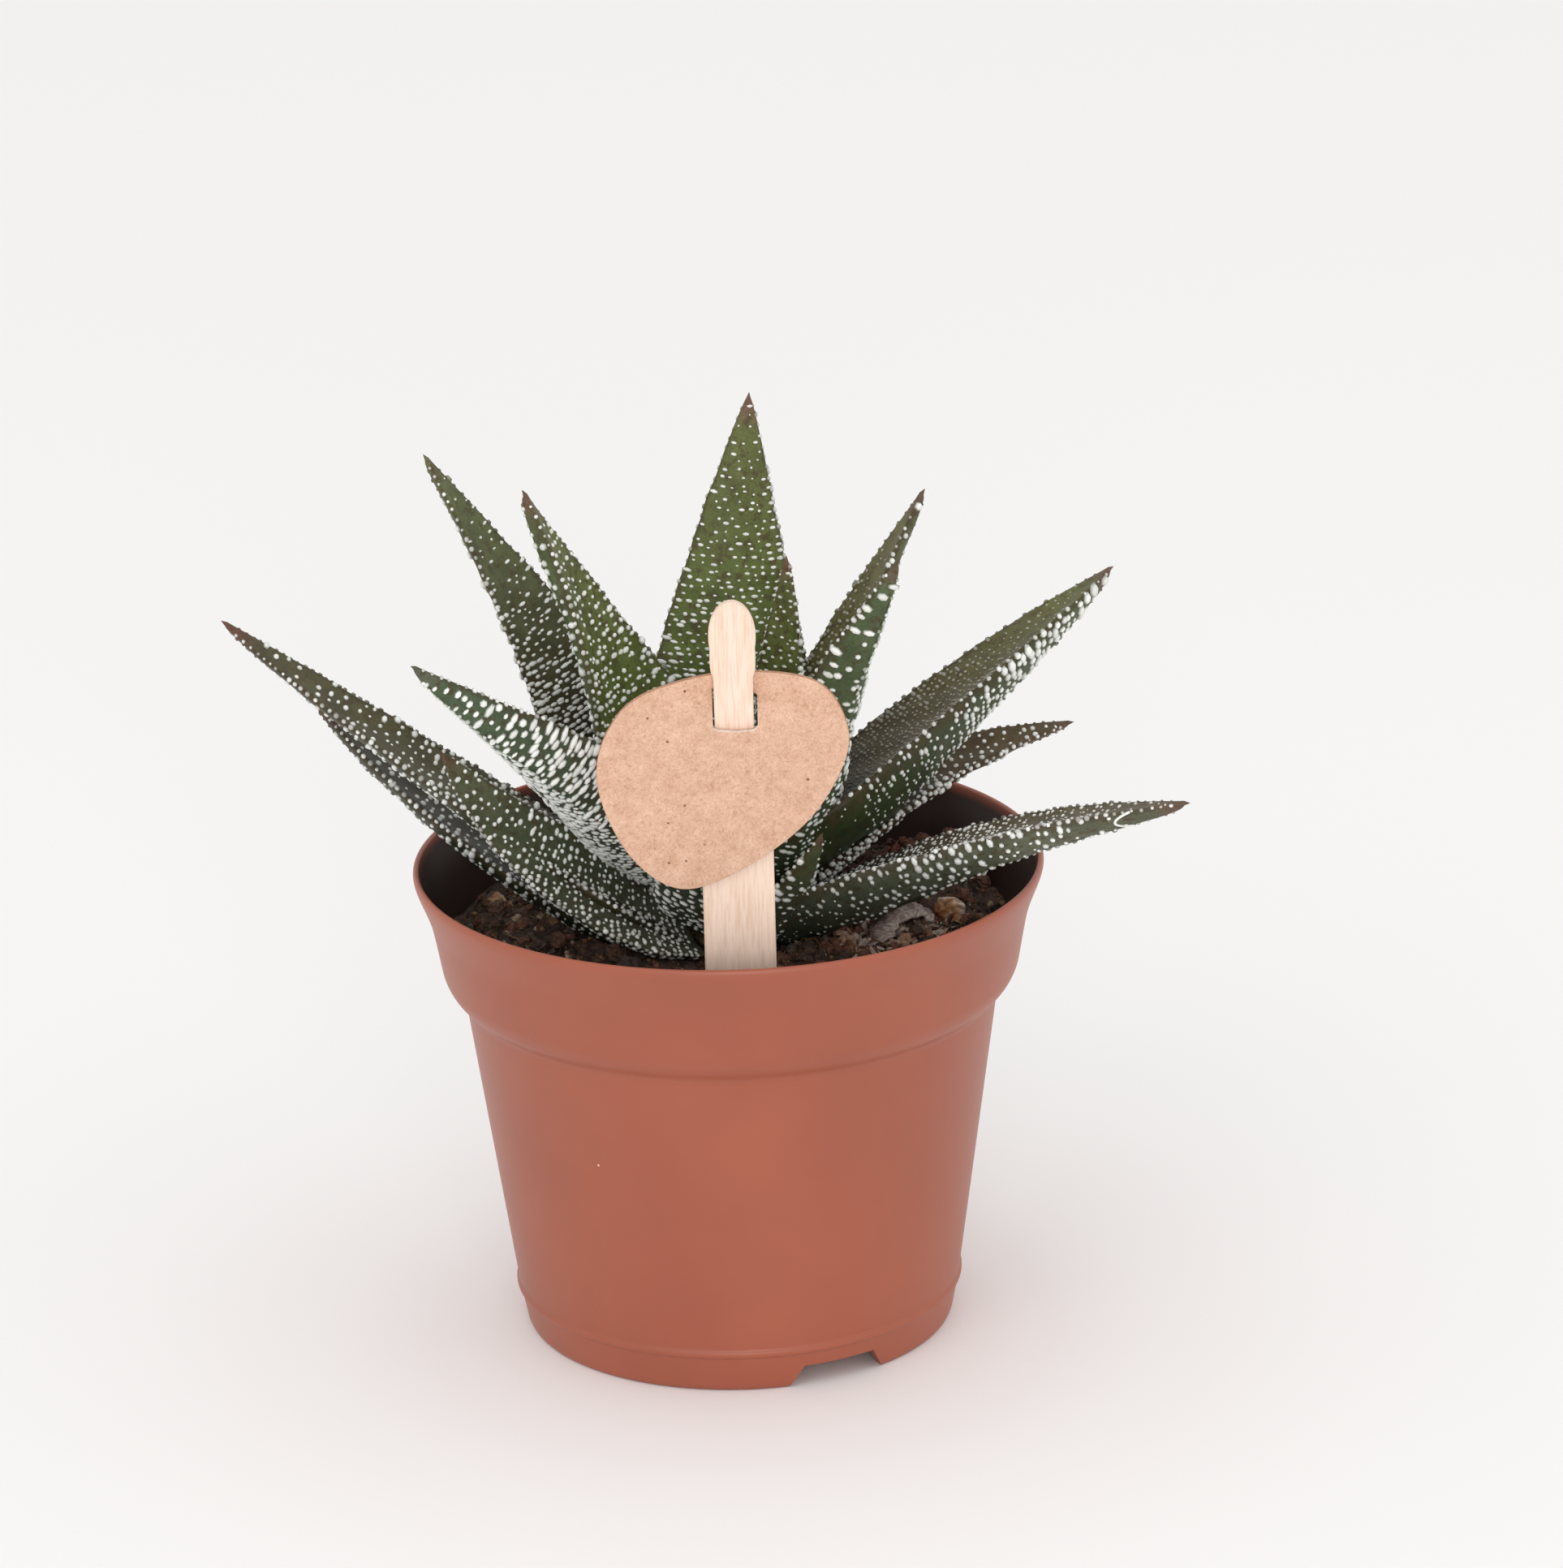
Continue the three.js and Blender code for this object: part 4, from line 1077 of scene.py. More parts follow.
# %% Scatter the crumbs
# Each kind has its number, the finer steps of its ball, its smallest and largest radius, the middle and the
# radius of the patch that it lies in, its flatness and its tones.
Crumbs = namedtuple("Crumbs", "count steps smallest largest middle reach flatness tones")
BED = ((0.0, 0.0), 40.5)
CRUMB_KINDS = [
    Crumbs(1000, 1, 0.45, 1.1, *BED, 1.0, ("#4C3B34", "#604A3E", "#745444", "#825846", "#6A6052")),
    Crumbs(90, 2, 1.0, 1.9, *BED, 1.0, ("#42332C", "#554338", "#6C5140", "#7A523F")),
    Crumbs(3000, 0, 0.2, 0.5, *BED, 1.0, ("#47362F", "#5A463A", "#7E5640", "#706858", "#94704C")),
    Crumbs(220, 1, 0.35, 0.8, *BED, 1.0, ("#8A6440", "#9C7852", "#B09A7C", "#7E5C42")),
    Crumbs(140, 0, 0.2, 0.45, *BED, 1.0, ("#C8BDA8", "#B7A68C")),
    Crumbs(600, 0, 0.5, 1.4, (27.0, -6.0), 12.0, 0.35,
           ("#C09A80", "#DCBCA6", "#9C6C54", "#EAD8CA", "#8A5C4A")),
    Crumbs(260, 0, 0.4, 1.1, HEAP_PLACE, 9.0, 0.6, ("#7E4E38", "#94604A", "#6A4434")),
]
CRUMB_RISE = 0.35


def scatter_crumbs():
    """All the crumbs' points, triangles and tones."""
    draw = np.random.default_rng(7)
    parts, tones = [], []
    for kind in CRUMB_KINDS:
        shape, triangles = ball(kind.steps)
        palette = [linear(code) for code in kind.tones]
        for _ in range(kind.count):
            x, y = on_disc(draw, kind.reach, kind.middle)
            size = kind.smallest + (kind.largest - kind.smallest) * draw.random() ** 2
            z = float(peat_level(x, y)) + crumble(x, y) + size * CRUMB_RISE
            tone = palette[draw.integers(len(palette))]
            stretch = draw.uniform(0.6, 1.35, 3) * (1, 1, kind.flatness)
            turn = random_turn(draw)
            dents = 1 + draw.normal(0, 0.13, (len(shape), 1))
            if math.hypot(x, y) + size > wall_radius(z) or not is_free((x, y, z), size):
                continue
            parts.append((shape * dents * stretch * size @ turn.T + (x, y, z), triangles))
            tones.append(np.tile(tone, (len(shape), 1)))
    return *join(parts), np.concatenate(tones)


# %% Lay the fibres
FIBRES = 300
FIBRE_REACH = 38.0
FIBRE_PACE = (0.35, 1.1)
FIBRE_THICKNESS = (0.07, 0.19)
FIBRE_LIFT = (0.1, 1.0)
FIBRE_TO_WALL = 0.6
FIBRE_ROOM = 0.4
FIBRE_TONES = ("#7E5A3C", "#5C4030", "#A07C56", "#6E503C", "#4A372C")


def stalk(path, radii, sides=4):
    """A thin stalk along a path, closed to a point at both ends."""
    path = np.asarray(path)
    heading = unit(np.gradient(path, axis=0))
    across = unit(np.cross(heading, [0.13, 0.21, 1.0]))
    other = np.cross(heading, across)
    points = [path[0]]
    for i in range(1, len(path) - 1):
        points += [path[i] + across[i] * x + other[i] * y for x, y, _ in ring(radii[i], 0.0, sides)]
    points.append(path[-1])
    return np.array(points), tube_triangles(len(path) - 2, sides)


def lay_fibres():
    """All the fibres' points, triangles and tones."""
    draw = np.random.default_rng(11)
    parts, tones = [], []
    for _ in range(FIBRES):
        x, y = on_disc(draw, FIBRE_REACH)
        heading = TURN * draw.random()
        steps = draw.integers(7, 12)
        pace = draw.uniform(*FIBRE_PACE)
        thickness = draw.uniform(*FIBRE_THICKNESS)
        lift = draw.uniform(*FIBRE_LIFT)
        tone = linear(FIBRE_TONES[draw.integers(len(FIBRE_TONES))])
        path = []
        for step in range(steps):
            rise = lift * math.sin(math.pi * step / (steps - 1)) + 0.25
            path.append((x, y, float(peat_level(x, y)) + max(crumble(x, y), -0.4) + rise))
            heading += draw.normal(0, 0.3)
            x, y = x + pace * math.cos(heading), y + pace * math.sin(heading)
        if any(math.hypot(a, b) > wall_radius(c) - FIBRE_TO_WALL for a, b, c in path):
            continue
        if not all(is_free(point, FIBRE_ROOM) for point in path):
            continue
        parts.append(stalk(path, thickness * np.sin(np.linspace(0.25, math.pi - 0.15, steps))))
        tones.append(np.tile(tone, (len(parts[-1][0]), 1)))
    return *join(parts), np.concatenate(tones)


# %% [markdown]
# ### Damp peat
# Damp peat is very dark and mostly matt, with a weak shine where a wet face turns to the light. The crumbs'
# own colours are stored on them, and a noise from two thirds of a millimetre down to a twentieth breaks
# them up. Grains finer than that would not show.

# %% Peat material
def damp_peat():
    material, tree, shader = new_material("damp_peat")
    place = add(tree, "ShaderNodeTexCoord").outputs["Object"]
    tone = add(tree, "ShaderNodeAttribute", attribute_name="tone").outputs["Color"]
    grains = add(tree, "ShaderNodeTexNoise",
                 {"Vector": place, "Scale": 1500.0, "Detail": 4.0, "Roughness": 0.65})
    relief = add(tree, "ShaderNodeBump",
                 {"Height": grains.outputs["Fac"], "Strength": 0.7, "Distance": 0.0002})
    gloss = add(tree, "ShaderNodeMapRange", {"Value": grains.outputs["Fac"], "To Min": 0.95, "To Max": 0.6})
    plug(tree, shader, {
        "Base Color": shaded(tree, tone, grains, 1.0, [(0.35, "#A8A09A"), (0.7, "#FFFFFF")]),
        "Roughness": gloss.outputs[0], "Normal": relief.outputs["Normal"], "IOR": 1.4,
    })
    return material


# %% Make the peat
PEAT = damp_peat()

for name, (points, triangles, tones), smooth in (
    ("peat_bed", peat_bed(), True),
    ("peat_crumbs", scatter_crumbs(), False),
    ("peat_fibres", lay_fibres(), True),
):
    piece = make_piece(name, points, triangles, [PEAT], {"tone": tones}, smooth=smooth)
    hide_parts("soil")
    print(name, "has", len(triangles), "triangles")

# %% [markdown]
# ## The stem
# The short stem stands in the peat under the leaves. It can hardly be seen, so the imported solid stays, with
# the look of dry corky bark: brown, matt and ringed by old leaf scars about 2 mm apart.

# %% Corky stem material
def corky_bark():
    material, tree, shader = new_material("corky_stem_bark")
    place = add(tree, "ShaderNodeTexCoord").outputs["Object"]
    rings = add(tree, "ShaderNodeTexWave",
                {"Vector": place, "Scale": 160.0, "Distortion": 3.0, "Detail": 3.0}, bands_direction="Z")
    tone = add(tree, "ShaderNodeValToRGB", {"Fac": rings.outputs["Fac"]},
               stops=[(0.2, "#4E3E28"), (0.8, "#7C6A48")])
    relief = add(tree, "ShaderNodeBump",
                 {"Height": rings.outputs["Fac"], "Strength": 0.6, "Distance": 0.0004})
    plug(tree, shader, {
        "Base Color": tone.outputs["Color"], "Normal": relief.outputs["Normal"], "Roughness": 0.85,
    })
    return material


stem_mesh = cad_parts["stem"].data
stem_mesh.materials.clear()
stem_mesh.materials.append(corky_bark())

# %% [markdown]
# ## The stick label
# The stick is punched from thin birch veneer, like an ice-cream stick, with a round head and a waist that
# carries the card. Its edges are crisp but sanded. The outline is drawn once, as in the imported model, and
# given its thickness with a narrow bevel on each face. The stick and the card share one frame, which leans
# 4 degrees to the front.

# %% The label's leaning frame
STICK_FOOT = (1.6, -34.1, SOIL_HEIGHT)
STICK_LEAN = math.radians(4)
STICK_THICKNESS = 1.2
STICK_BELOW = 30.0
STICK_ABOVE = 62.9
STICK_BEVEL = 0.16


def on_stick(points):
    """Points (across, forward to back, up the stick) in the pot's millimetres."""
    x, y, z = np.asarray(points, float).T
    back = y * math.cos(STICK_LEAN) - z * math.sin(STICK_LEAN)
    up = y * math.sin(STICK_LEAN) + z * math.cos(STICK_LEAN)
    return np.stack([x, back, up], 1) + STICK_FOOT


# %% The stick's outline
BODY_HALF = 9.9 / 2
NECK_HALF = 5.4 / 2
HEAD_HALF = 6.5 / 2
HEAD_REACH = 10.4
NECK_LENGTH = 8.4
SHOULDER_LENGTH = 5.0
FOOT_CORNER = (1.5, 2.0)
HEAD_DROP = 1.9


def stick_outline():
    """The outline (across, up): a blunted foot, a straight body, shoulders, the neck and the round head."""
    head = STICK_ABOVE - HEAD_REACH / 2
    neck_top = STICK_ABOVE - HEAD_REACH
    neck_foot = neck_top - NECK_LENGTH
    shoulder = (BODY_HALF, neck_foot - SHOULDER_LENGTH)
    corner = (NECK_HALF + 0.2, neck_top - 0.3)
    head_foot = (HEAD_HALF - 0.16, head - HEAD_DROP)
    right = [
        (BODY_HALF - FOOT_CORNER[0], -STICK_BELOW), (BODY_HALF, -STICK_BELOW + FOOT_CORNER[1]), shoulder,
        *corner_curve(shoulder, (BODY_HALF, neck_foot), (NECK_HALF, neck_foot), 10)[1:],
        *corner_curve((NECK_HALF, neck_top - 1.8), (NECK_HALF, neck_top - 0.7), corner, 6)[1:],
        *corner_curve(corner, (HEAD_HALF, neck_top + 0.6), head_foot, 6)[1:],
    ]
    start = -math.asin(HEAD_DROP / (HEAD_REACH / 2)) + 0.08
    for turn in np.linspace(start, math.pi / 2, 22)[:-1]:
        right.append((HEAD_HALF * math.cos(turn), head + HEAD_REACH / 2 * math.sin(turn)))
    left = [(-x, z) for x, z in reversed(right)]
    return np.array([*right, (0.0, STICK_ABOVE), *left])


def bevelled_plate(outline, thickness, bevel):
    """A flat plate with this outline (across, up) and a narrow bevel round both faces."""
    ahead, behind = np.roll(outline, -1, 0) - outline, outline - np.roll(outline, 1, 0)
    heading = unit(unit(ahead) + unit(behind))
    inwards = np.stack([-heading[:, 1], heading[:, 0]], 1)
    small = outline + inwards * bevel
    half = thickness / 2
    layers = [(small, -half), (outline, -half + bevel), (outline, half - bevel), (small, half)]
    points = np.concatenate([
        np.stack([line[:, 0], np.full(len(line), y), line[:, 1]], 1) for line, y in layers
    ])
    count = len(outline)
    faces = [list(range(count)), list(reversed(range(3 * count, 4 * count)))]
    for layer in range(3):
        for j in range(count):
            a, b = layer * count + j, layer * count + (j + 1) % count
            faces.append([a, a + count, b + count, b])
    return points, faces


# %% [markdown]
# ### Birch veneer
# Birch is pale and even, with fine straight grain along the stick, 0.25 to 0.3 mm between lines, and faint
# broader bands. It is sanded and left bare, so it is matt with only a trace of sheen. The grain is a noise
# that is stretched about seventeen times along the stick, read in the stick's own direction.

# %% Birch material
def bare_birch():
    material, tree, shader = new_material("bare_birch_veneer")
    place = add(tree, "ShaderNodeTexCoord").outputs["Object"]
    upright = add(tree, "ShaderNodeMapping", {"Vector": place, "Rotation": (-STICK_LEAN, 0.0, 0.0)})
    stretched = add(tree, "ShaderNodeMapping", {"Vector": upright.outputs[0], "Scale": (1.0, 1.0, 0.06)})
    grain = add(tree, "ShaderNodeTexNoise", {
        "Vector": stretched.outputs[0], "Scale": 3600.0, "Detail": 4.0, "Roughness": 0.6, "Distortion": 0.4,
    })
    bands = add(tree, "ShaderNodeTexNoise", {"Vector": stretched.outputs[0], "Scale": 520.0, "Detail": 2.0})
    tone = add(tree, "ShaderNodeValToRGB", {"Fac": bands.outputs["Fac"]},
               stops=[(0.35, "#EFD4C0"), (0.65, "#F2D8C7")])
    veneer = shaded(tree, tone.outputs["Color"], grain, 0.5, [(0.36, "#E4CFBC"), (0.56, "#FFFFFF")])
    relief = add(tree, "ShaderNodeBump",
                 {"Height": grain.outputs["Fac"], "Strength": 0.3, "Distance": 0.00008})
    plug(tree, shader, {"Base Color": veneer, "Normal": relief.outputs["Normal"], "Roughness": 0.62})
    return material


plate_points, plate_faces = bevelled_plate(stick_outline(), STICK_THICKNESS, STICK_BEVEL)
stick = make_piece("birch_stick", on_stick(plate_points), plate_faces, [bare_birch()], smooth=False)
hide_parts("wooden_stick")
stick_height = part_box("wooden_stick")[1].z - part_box("soil")[1].z
print("stick stands", round(stick_height / MM, 1), "mm above the peat's top")

# %% [markdown]
# ## The card tag
# The tag is die-cut from greyboard 0.9 mm thick, in the shape of a rounded pebble. The stick's neck is
# pushed through a slot: above the slot the card lies behind the stick, below it in front, so the card bends
# backwards at the slot. A filled curve gives the flat card with its hole and a small rounded edge. It is
# cut into narrow rows across the bend, and the rows are then set back.

# %% The card's outline
CARD_MIDDLE = (-1.7, 36.4)
CARD_THICKNESS = 0.9
CARD_GAP = 0.3
CARD_EDGE = 0.22
CARD_OUTLINE = [
    (-17.2, 1.5), (-14.4, 9.7), (-6, 14), (4.6, 15.3), (13.6, 13.2), (17.2, 7), (12.6, -4.2), (1.3, -13.2),
    (-6.4, -15.4), (-12.8, -10.6),
]
SLOT = [
    (-1.45, 8.1), (-0.6, 7.75), (2.0, 7.5), (4.4, 7.7), (5.15, 8.3), (5.15, 12.2), (4.0, 13.35),
    (-1.45, 13.35),
]


def rounded_outline(corners, steps=16):
    """A closed centripetal Catmull-Rom curve through the corners."""
    corners = np.array(corners, float)
    line = []
    for i in range(len(corners)):
        p = [corners[(i + n) % len(corners)] for n in (-1, 0, 1, 2)]
        knots = [0.0]
        for n in range(3):
            knots.append(knots[-1] + math.sqrt(np.linalg.norm(p[n + 1] - p[n])))
        for t in np.linspace(knots[1], knots[2], steps, endpoint=False):
            shares = [(t - knots[n]) / (knots[n + 1] - knots[n]) for n in range(3)]
            first = [mixed(p[n], p[n + 1], shares[n]) for n in range(3)]
            shares_of_two = [(t - knots[n]) / (knots[n + 2] - knots[n]) for n in range(2)]
            second = [mixed(first[n], first[n + 1], shares_of_two[n]) for n in range(2)]
            line.append(mixed(second[0], second[1], shares[1]))
    return np.array(line)


# %% Cut the card and bend it
BEND_FROM = 7.6
BEND_TO = 13.2
BEND_ROWS = 15
WIDE_ROWS = range(-14, 15, 2)


def set_back(height):
    """How far behind its lower part the card lies at a height above its middle."""
    reach = STICK_THICKNESS + CARD_THICKNESS + 2 * CARD_GAP
    return reach * smooth_step(height, BEND_FROM, BEND_TO)


def flat_card():
    """The flat card as a filled curve, then as a mesh cut into rows across the bend."""
    curve = bpy.data.curves.new("card", "CURVE")
    curve.dimensions = "2D"
    curve.fill_mode = "BOTH"
    curve.extrude = CARD_THICKNESS / 2 - CARD_EDGE
    curve.bevel_depth = CARD_EDGE
    curve.bevel_resolution = 1
    for line in (rounded_outline(CARD_OUTLINE), SLOT):
        spline = curve.splines.new("POLY")
        spline.points.add(len(line) - 1)
        spline.points.foreach_set("co", [value for x, z in line for value in (x, z, 0.0, 1.0)])
        spline.use_cyclic_u = True
    holder = bpy.data.objects.new("card", curve)
    bpy.context.scene.collection.objects.link(holder)
    mesh = bpy.data.meshes.new_from_object(holder.evaluated_get(bpy.context.evaluated_depsgraph_get()))
    bpy.data.objects.remove(holder)
    rows = bmesh.new()
    rows.from_mesh(mesh)
    bmesh.ops.remove_doubles(rows, verts=rows.verts, dist=0.001)
    for height in [*WIDE_ROWS, *np.linspace(BEND_FROM, BEND_TO, BEND_ROWS)]:
        everything = rows.verts[:] + rows.edges[:] + rows.faces[:]
        bmesh.ops.bisect_plane(rows, geom=everything, plane_co=(0, height, 0), plane_no=(0, 1, 0))
    bmesh.ops.triangulate(rows, faces=rows.faces)
    points = np.array([vertex.co for vertex in rows.verts])
    triangles = np.array([[vertex.index for vertex in face.verts] for face in rows.faces])
    rows.free()
    return points, triangles


# %% [markdown]
# ### Greyboard
# Kraft greyboard is pressed from waste fibre: a warm tan, mottled at 2 mm and grained by fibres that lie
# every way, with stray dark specks. It is quite matt. The grain is drawn at 0.4 mm, coarser than the real
# fibres, so that it shows. The cut edge is darker all round, partly the board's darker inside and partly
# painted shade, as on an edge turned from the light. The torn edge of the slot shows pale loose fibres. So
# both edges get tones of their own.

# %% Greyboard material
def kraft_greyboard(name, dark, light):
    material, tree, shader = new_material(name)
    place = add(tree, "ShaderNodeTexCoord").outputs["Object"]
    mottle = add(tree, "ShaderNodeTexNoise",
                 {"Vector": place, "Scale": 420.0, "Detail": 4.0, "Roughness": 0.6})
    tone = add(tree, "ShaderNodeValToRGB", {"Fac": mottle.outputs["Fac"]}, stops=[(0.3, dark), (0.7, light)])
    fibres = add(tree, "ShaderNodeTexNoise",
                 {"Vector": place, "Scale": 2300.0, "Detail": 3.0, "Roughness": 0.7, "Distortion": 1.2})
    board = shaded(tree, tone.outputs["Color"], fibres, 0.8, [(0.3, "#D2C0B0"), (0.6, "#FFFFFF")])
    stray = specks(tree, place, 420.0, 0.09, 0.22)
    specked = add(tree, "ShaderNodeMix", {0: stray, 6: board, 7: linear("#8A5F48")}, data_type="RGBA")
    relief = add(tree, "ShaderNodeBump",
                 {"Height": fibres.outputs["Fac"], "Strength": 0.35, "Distance": 0.0001})
    plug(tree, shader, {
        "Base Color": specked.outputs[2], "Normal": relief.outputs["Normal"], "Roughness": 0.85,
    })
    return material


# %% Hang the card on the stick
FACE_LEVEL = 0.8
SLOT_ROOM = 0.4
CARD_SHARP_ANGLE = math.radians(32)
BOARDS = [
    kraft_greyboard("kraft_greyboard", "#D4A98F", "#E4BEA5"),
    # The cut edge's darker tone is partly the board's inside and partly painted shade.
    kraft_greyboard("greyboard_edge_and_painted_shade", "#B08468", "#C4987C"),
    kraft_greyboard("torn_greyboard_slot", "#EAD6C8", "#F6EAE0"),
]

card_flat, card_triangles = flat_card()
card_forward = STICK_THICKNESS / 2 + CARD_THICKNESS / 2 + CARD_GAP
card_points = np.stack([
    card_flat[:, 0] + CARD_MIDDLE[0],
    set_back(card_flat[:, 1]) - card_flat[:, 2] - card_forward,
    card_flat[:, 1] + CARD_MIDDLE[1],
], 1)
corners = card_flat[card_triangles]
facing = np.abs(unit(np.cross(corners[:, 1] - corners[:, 0], corners[:, 2] - corners[:, 0]))[:, 2])
middles = corners.mean(1)[:, :2]
in_slot = np.all((middles > np.min(SLOT, 0) - SLOT_ROOM) & (middles < np.max(SLOT, 0) + SLOT_ROOM), axis=1)
card_picks = np.where(facing > FACE_LEVEL, 0, np.where(in_slot, 2, 1))
card = make_piece("greyboard_tag", on_stick(card_points), card_triangles, BOARDS,
                  picks=card_picks)
card.data.set_sharp_from_angle(angle=CARD_SHARP_ANGLE)
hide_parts("card_tag")
print("card triangles:", len(card_triangles))

# %% [markdown]
# ## The bits on the peat
# Potting mix carries a few coarse bits: a chip of bark at the left, a pale chunk at the right and two lumps
# of peat. Such bits are broken, so each is a ball cut back to a few random planes, roughened by a noise,
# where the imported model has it. A dry, curled scrap of an old leaf stands as a little arch at the right.

# %% Broken lumps
BREAKS = 16
BREAK_REACH = (0.7, 0.95)
LUMP_SQUASH = 0.85
LUMP_ROUGHNESS = 0.16


def grown_lump(name, node, middle, size, seed, roughness, tones, slot):
    """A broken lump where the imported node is, with a tone of its own on each broken face."""
    shape, triangles = ball(4)
    draw = np.random.default_rng(seed)
    normals = unit(draw.normal(size=(BREAKS, 3)))
    reach = draw.uniform(*BREAK_REACH, BREAKS) / np.maximum(shape @ normals.T, 0.05)
    offset = Vector((seed * 3.1, seed, 0))
    push = np.array([noise.fractal(Vector(p * 1.3) + offset, 0.8, 2.2, 5) for p in shape])
    radius = np.minimum(reach.min(1), 1.0) + roughness * LUMP_ROUGHNESS * push
    points = shape * radius[:, None] * size / 2
    points[:, 2] *= LUMP_SQUASH
    face_tone = draw.normal(0, 0.15, BREAKS)[reach.argmin(1)]
    shares = np.clip(0.5 + 0.45 * shape[:, 0] + face_tone + 0.3 * push, 0, 1)
    stored = {"tone": ramp(shares, (0.2, 0.5, 0.8), tones)}
    material = PEAT if slot == "peat" else BARK
    piece = make_piece(name, points + middle, triangles, [material], stored)
    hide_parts(node)


def on_peat(x, y, rise):
    return np.array([x, y, float(peat_level(x, y)) + rise])

# %% [markdown]
# ### Bark and dry leaf
# Bark chips are corky and layered, matt, tan on a broken face and grey-brown outside, so their grain of 1
# mm is three times finer across the layers. A dead leaf is thin, papery and brittle: its veins stay a
# little darker. The scrap is paler towards one long edge, a painted highlight where that rim catches the
# light.

# %% Bark and dry leaf materials
def stored_tone(name, grain_scale, depth, roughness):
    """A matt material that reads its tone from the points and breaks it up with a grain."""
    material, tree, shader = new_material(name)
    place = add(tree, "ShaderNodeTexCoord").outputs["Object"]
    tone = add(tree, "ShaderNodeAttribute", attribute_name="tone").outputs["Color"]
    layers = add(tree, "ShaderNodeMapping",
                 {"Vector": place, "Rotation": (0.5, 0.3, 0.2), "Scale": (1.0, 1.0, 3.0)})
    grain = add(tree, "ShaderNodeTexNoise",
                {"Vector": layers.outputs[0], "Scale": grain_scale, "Detail": 4.0})
    relief = add(tree, "ShaderNodeBump", {"Height": grain.outputs["Fac"], "Strength": 0.6, "Distance": depth})
    plug(tree, shader, {
        "Base Color": shaded(tree, tone, grain, 0.9, [(0.35, "#9A8C80"), (0.65, "#FFFFFF")]),
        "Normal": relief.outputs["Normal"], "Roughness": roughness,
    })
    return material


BARK = stored_tone("broken_bark", 900.0, 0.0002, 0.8)
DRY_LEAF = stored_tone("papery_dry_leaf", 1400.0, 0.0001, 0.65)

grown_lump("bark_chip", "wood_chip", on_peat(-34, 12.5, 1.1), 4.0, 2, 0.8,
           ("#5E4630", "#A47B54", "#C8A67C"), "wood_chip")
grown_lump("pale_bark_chunk", "bark_chunk", on_peat(31.6, 5, 0.9), 5.4, 3, 0.5,
           ("#C08048", "#E2BC9C", "#F6E8E2"), "wood_chip")
grown_lump("coarse_peat_right", "peat_lump_right", on_peat(35.5, -2.5, 0.9), 4.4, 5, 1.0,
           ("#3A2C25", "#5A4230", "#7E5C42"), "peat")
grown_lump("coarse_peat_left", "peat_lump_left", on_peat(-25, -4.5, 0.9), 3.6, 9, 1.0,
           ("#3A2C25", "#5A4230", "#6E503C"), "peat")

# %% [markdown]
# ### The curled scrap
# The scrap is a thin ribbon bent into an arch, with both long edges curled down and torn. It is a net of
# points along the arch and across the ribbon, given a thickness of 0.35 mm.

# %% Curl the dry scrap
SCRAP_PLACE = (24.4, -1.8, SOIL_HEIGHT - 1.2)
SCRAP_RADIUS = 5.2
SCRAP_STRETCH = 1.3
SCRAP_WIDTH = 4.2
SCRAP_THICKNESS = 0.35
SCRAP_SWEEP = math.radians(165)
SCRAP_BEARING = math.radians(45)
SCRAP_STEPS = 60
SCRAP_ROWS = 14
TEAR_STEPS = 3


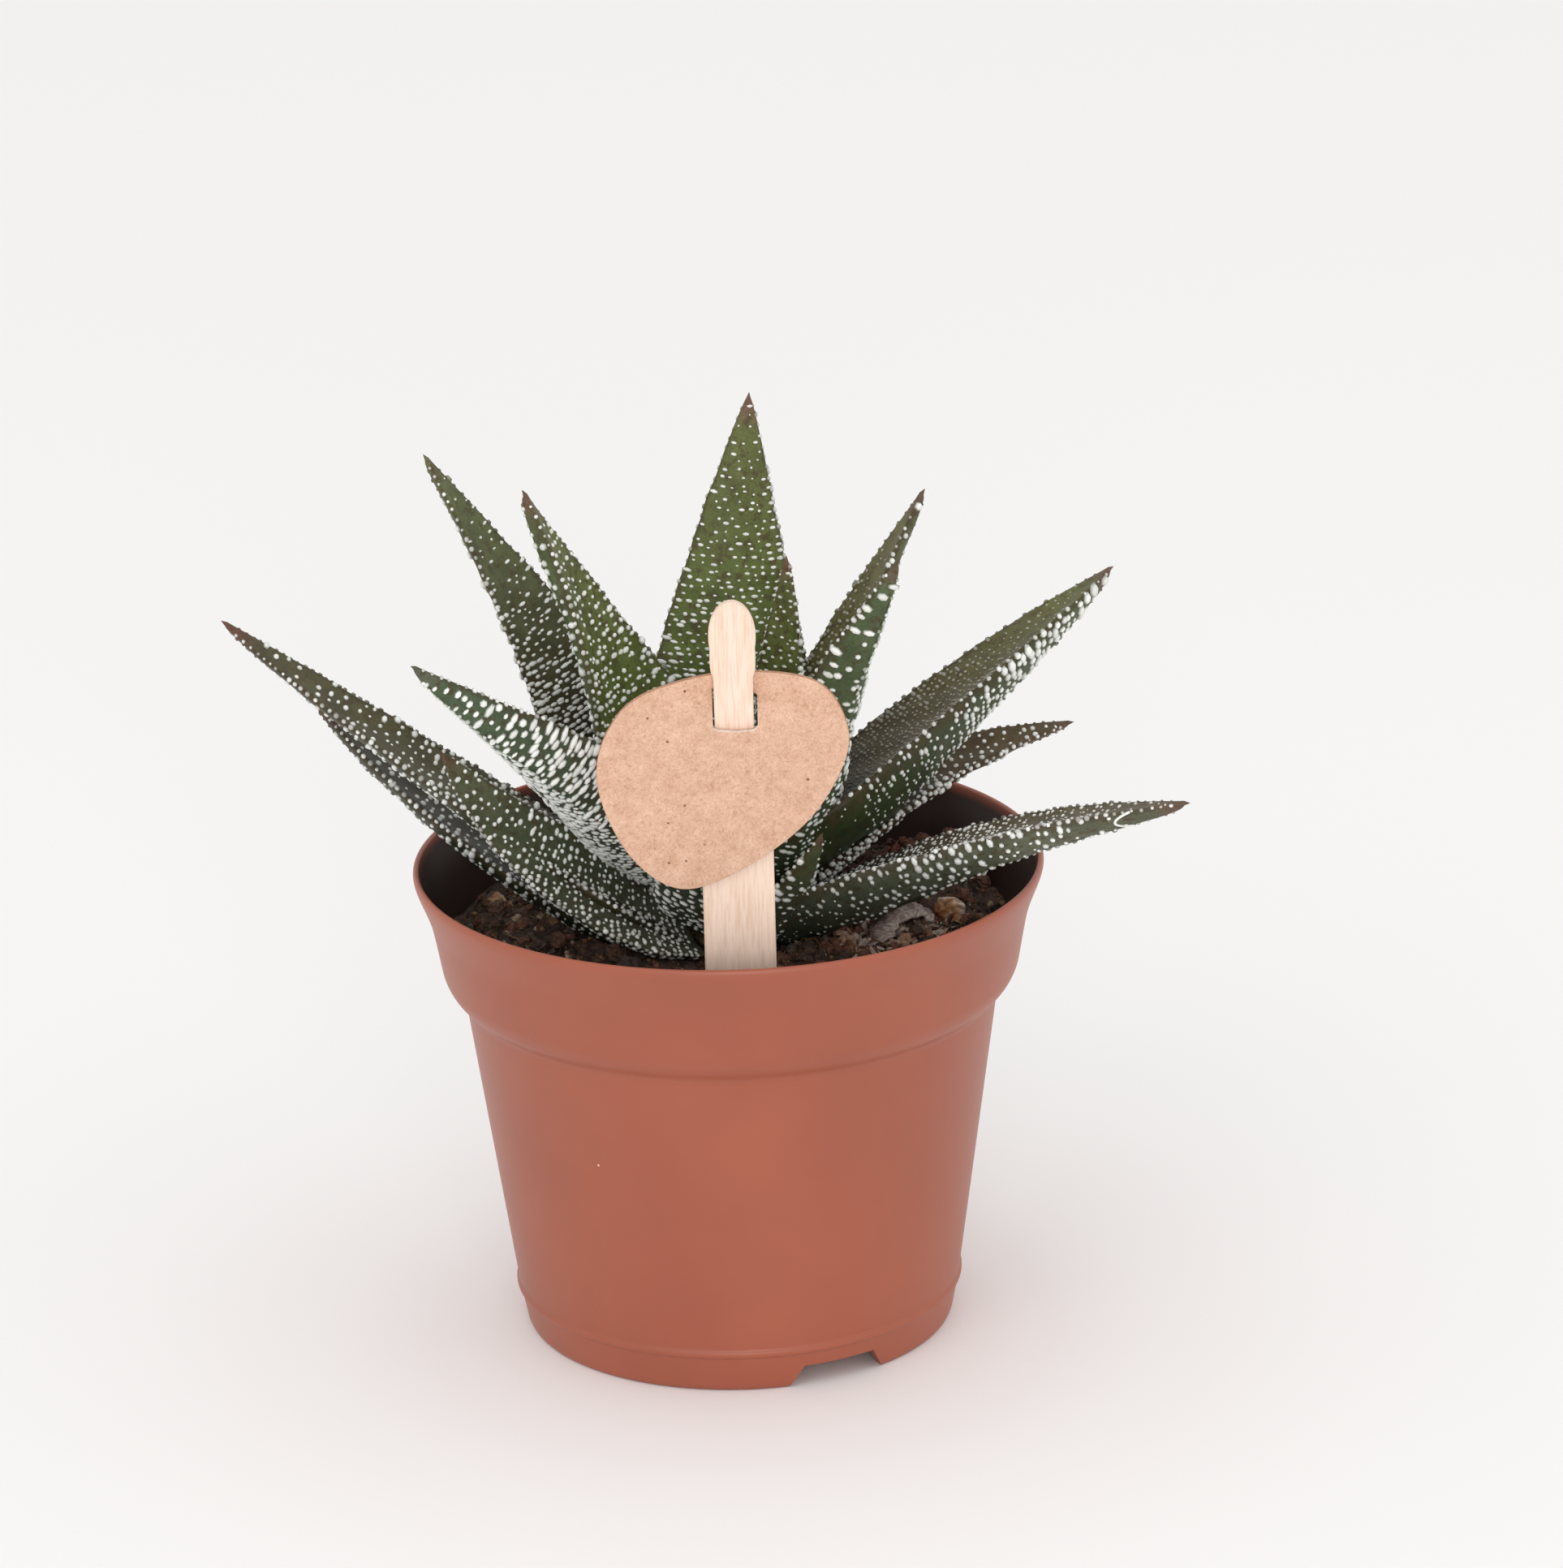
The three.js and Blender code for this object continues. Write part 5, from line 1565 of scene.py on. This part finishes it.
def scrap_top():
    """The ribbon's upper face as points in rows across it, and the share of each point on the tones."""
    draw = np.random.default_rng(21)
    tear = np.interp(np.arange(SCRAP_STEPS + 1), np.arange(0, SCRAP_STEPS + 1, TEAR_STEPS),
                     draw.normal(0, 0.28, SCRAP_STEPS // TEAR_STEPS + 1))
    top, shares = [], []
    for i in range(SCRAP_STEPS + 1):
        turn = (math.pi - SCRAP_SWEEP) / 2 + SCRAP_SWEEP * i / SCRAP_STEPS
        broad = 0.75 + 0.25 * math.sin(math.pi * i / SCRAP_STEPS)
        for j in range(SCRAP_ROWS + 1):
            across = 2 * j / SCRAP_ROWS - 1
            droop = 1.5 * across ** 2 + 0.25 * math.sin(i * 0.5 + 2 * across)
            reach = SCRAP_RADIUS - droop * 0.8 + 0.35 * noise.noise(Vector((i * 0.25, j * 0.5, 2.0)))
            width = SCRAP_WIDTH / 2 * broad + tear[i] * abs(across)
            top.append((reach * SCRAP_STRETCH * math.cos(turn), -across * width, reach * math.sin(turn)))
            # The share grows across the ribbon, so one long edge takes a pale tone: a painted highlight on
            # the rim.
            shares.append(0.5 + 0.5 * across + 0.3 * noise.noise(Vector((i * 0.3, j * 0.9, 7.0))))
    return np.array(top), np.clip(shares, 0, 1)


def curled_scrap():
    """The scrap's points, triangles and tones: both faces of the ribbon and the rim that joins them."""
    top, shares = scrap_top()
    under = top + unit(np.array([0.0, 0.0, -4.0]) - top) * SCRAP_THICKNESS
    row = SCRAP_ROWS + 1
    lower = len(top)
    triangles = []
    for i in range(SCRAP_STEPS):
        for j in range(SCRAP_ROWS):
            a, d = i * row + j, i * row + j + 1
            b, c = a + row, d + row
            for p, q, r in ((a, b, c), (a, c, d)):
                triangles += [(p, q, r), (p + lower, r + lower, q + lower)]
    rim = [i * row for i in range(SCRAP_STEPS + 1)]
    rim += [SCRAP_STEPS * row + j for j in range(1, row)]
    rim += [i * row + SCRAP_ROWS for i in range(SCRAP_STEPS - 1, -1, -1)]
    rim += range(SCRAP_ROWS - 1, 0, -1)
    for a, b in zip(rim, rim[1:] + rim[:1]):
        triangles += [(a, a + lower, b + lower), (a, b + lower, b)]
    x, y, z = np.concatenate([top, under]).T
    cos, sin = math.cos(SCRAP_BEARING), math.sin(SCRAP_BEARING)
    points = np.stack([x * cos - y * sin, x * sin + y * cos, z], 1) + SCRAP_PLACE
    # Dark at one long edge, pale at the other: the pale edge is a painted highlight.
    tones = ramp(np.tile(shares, 2), (0.1, 0.55, 0.95), ("#6A5650", "#94807A", "#D6C6BC"))
    return points, triangles, tones


scrap_points, scrap_triangles, scrap_tones = curled_scrap()
scrap = make_piece("curled_dry_leaf", scrap_points, scrap_triangles, [DRY_LEAF],
                   {"tone": scrap_tones})
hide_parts("dry_leaf_scrap")
print("scrap triangles:", len(scrap_triangles))
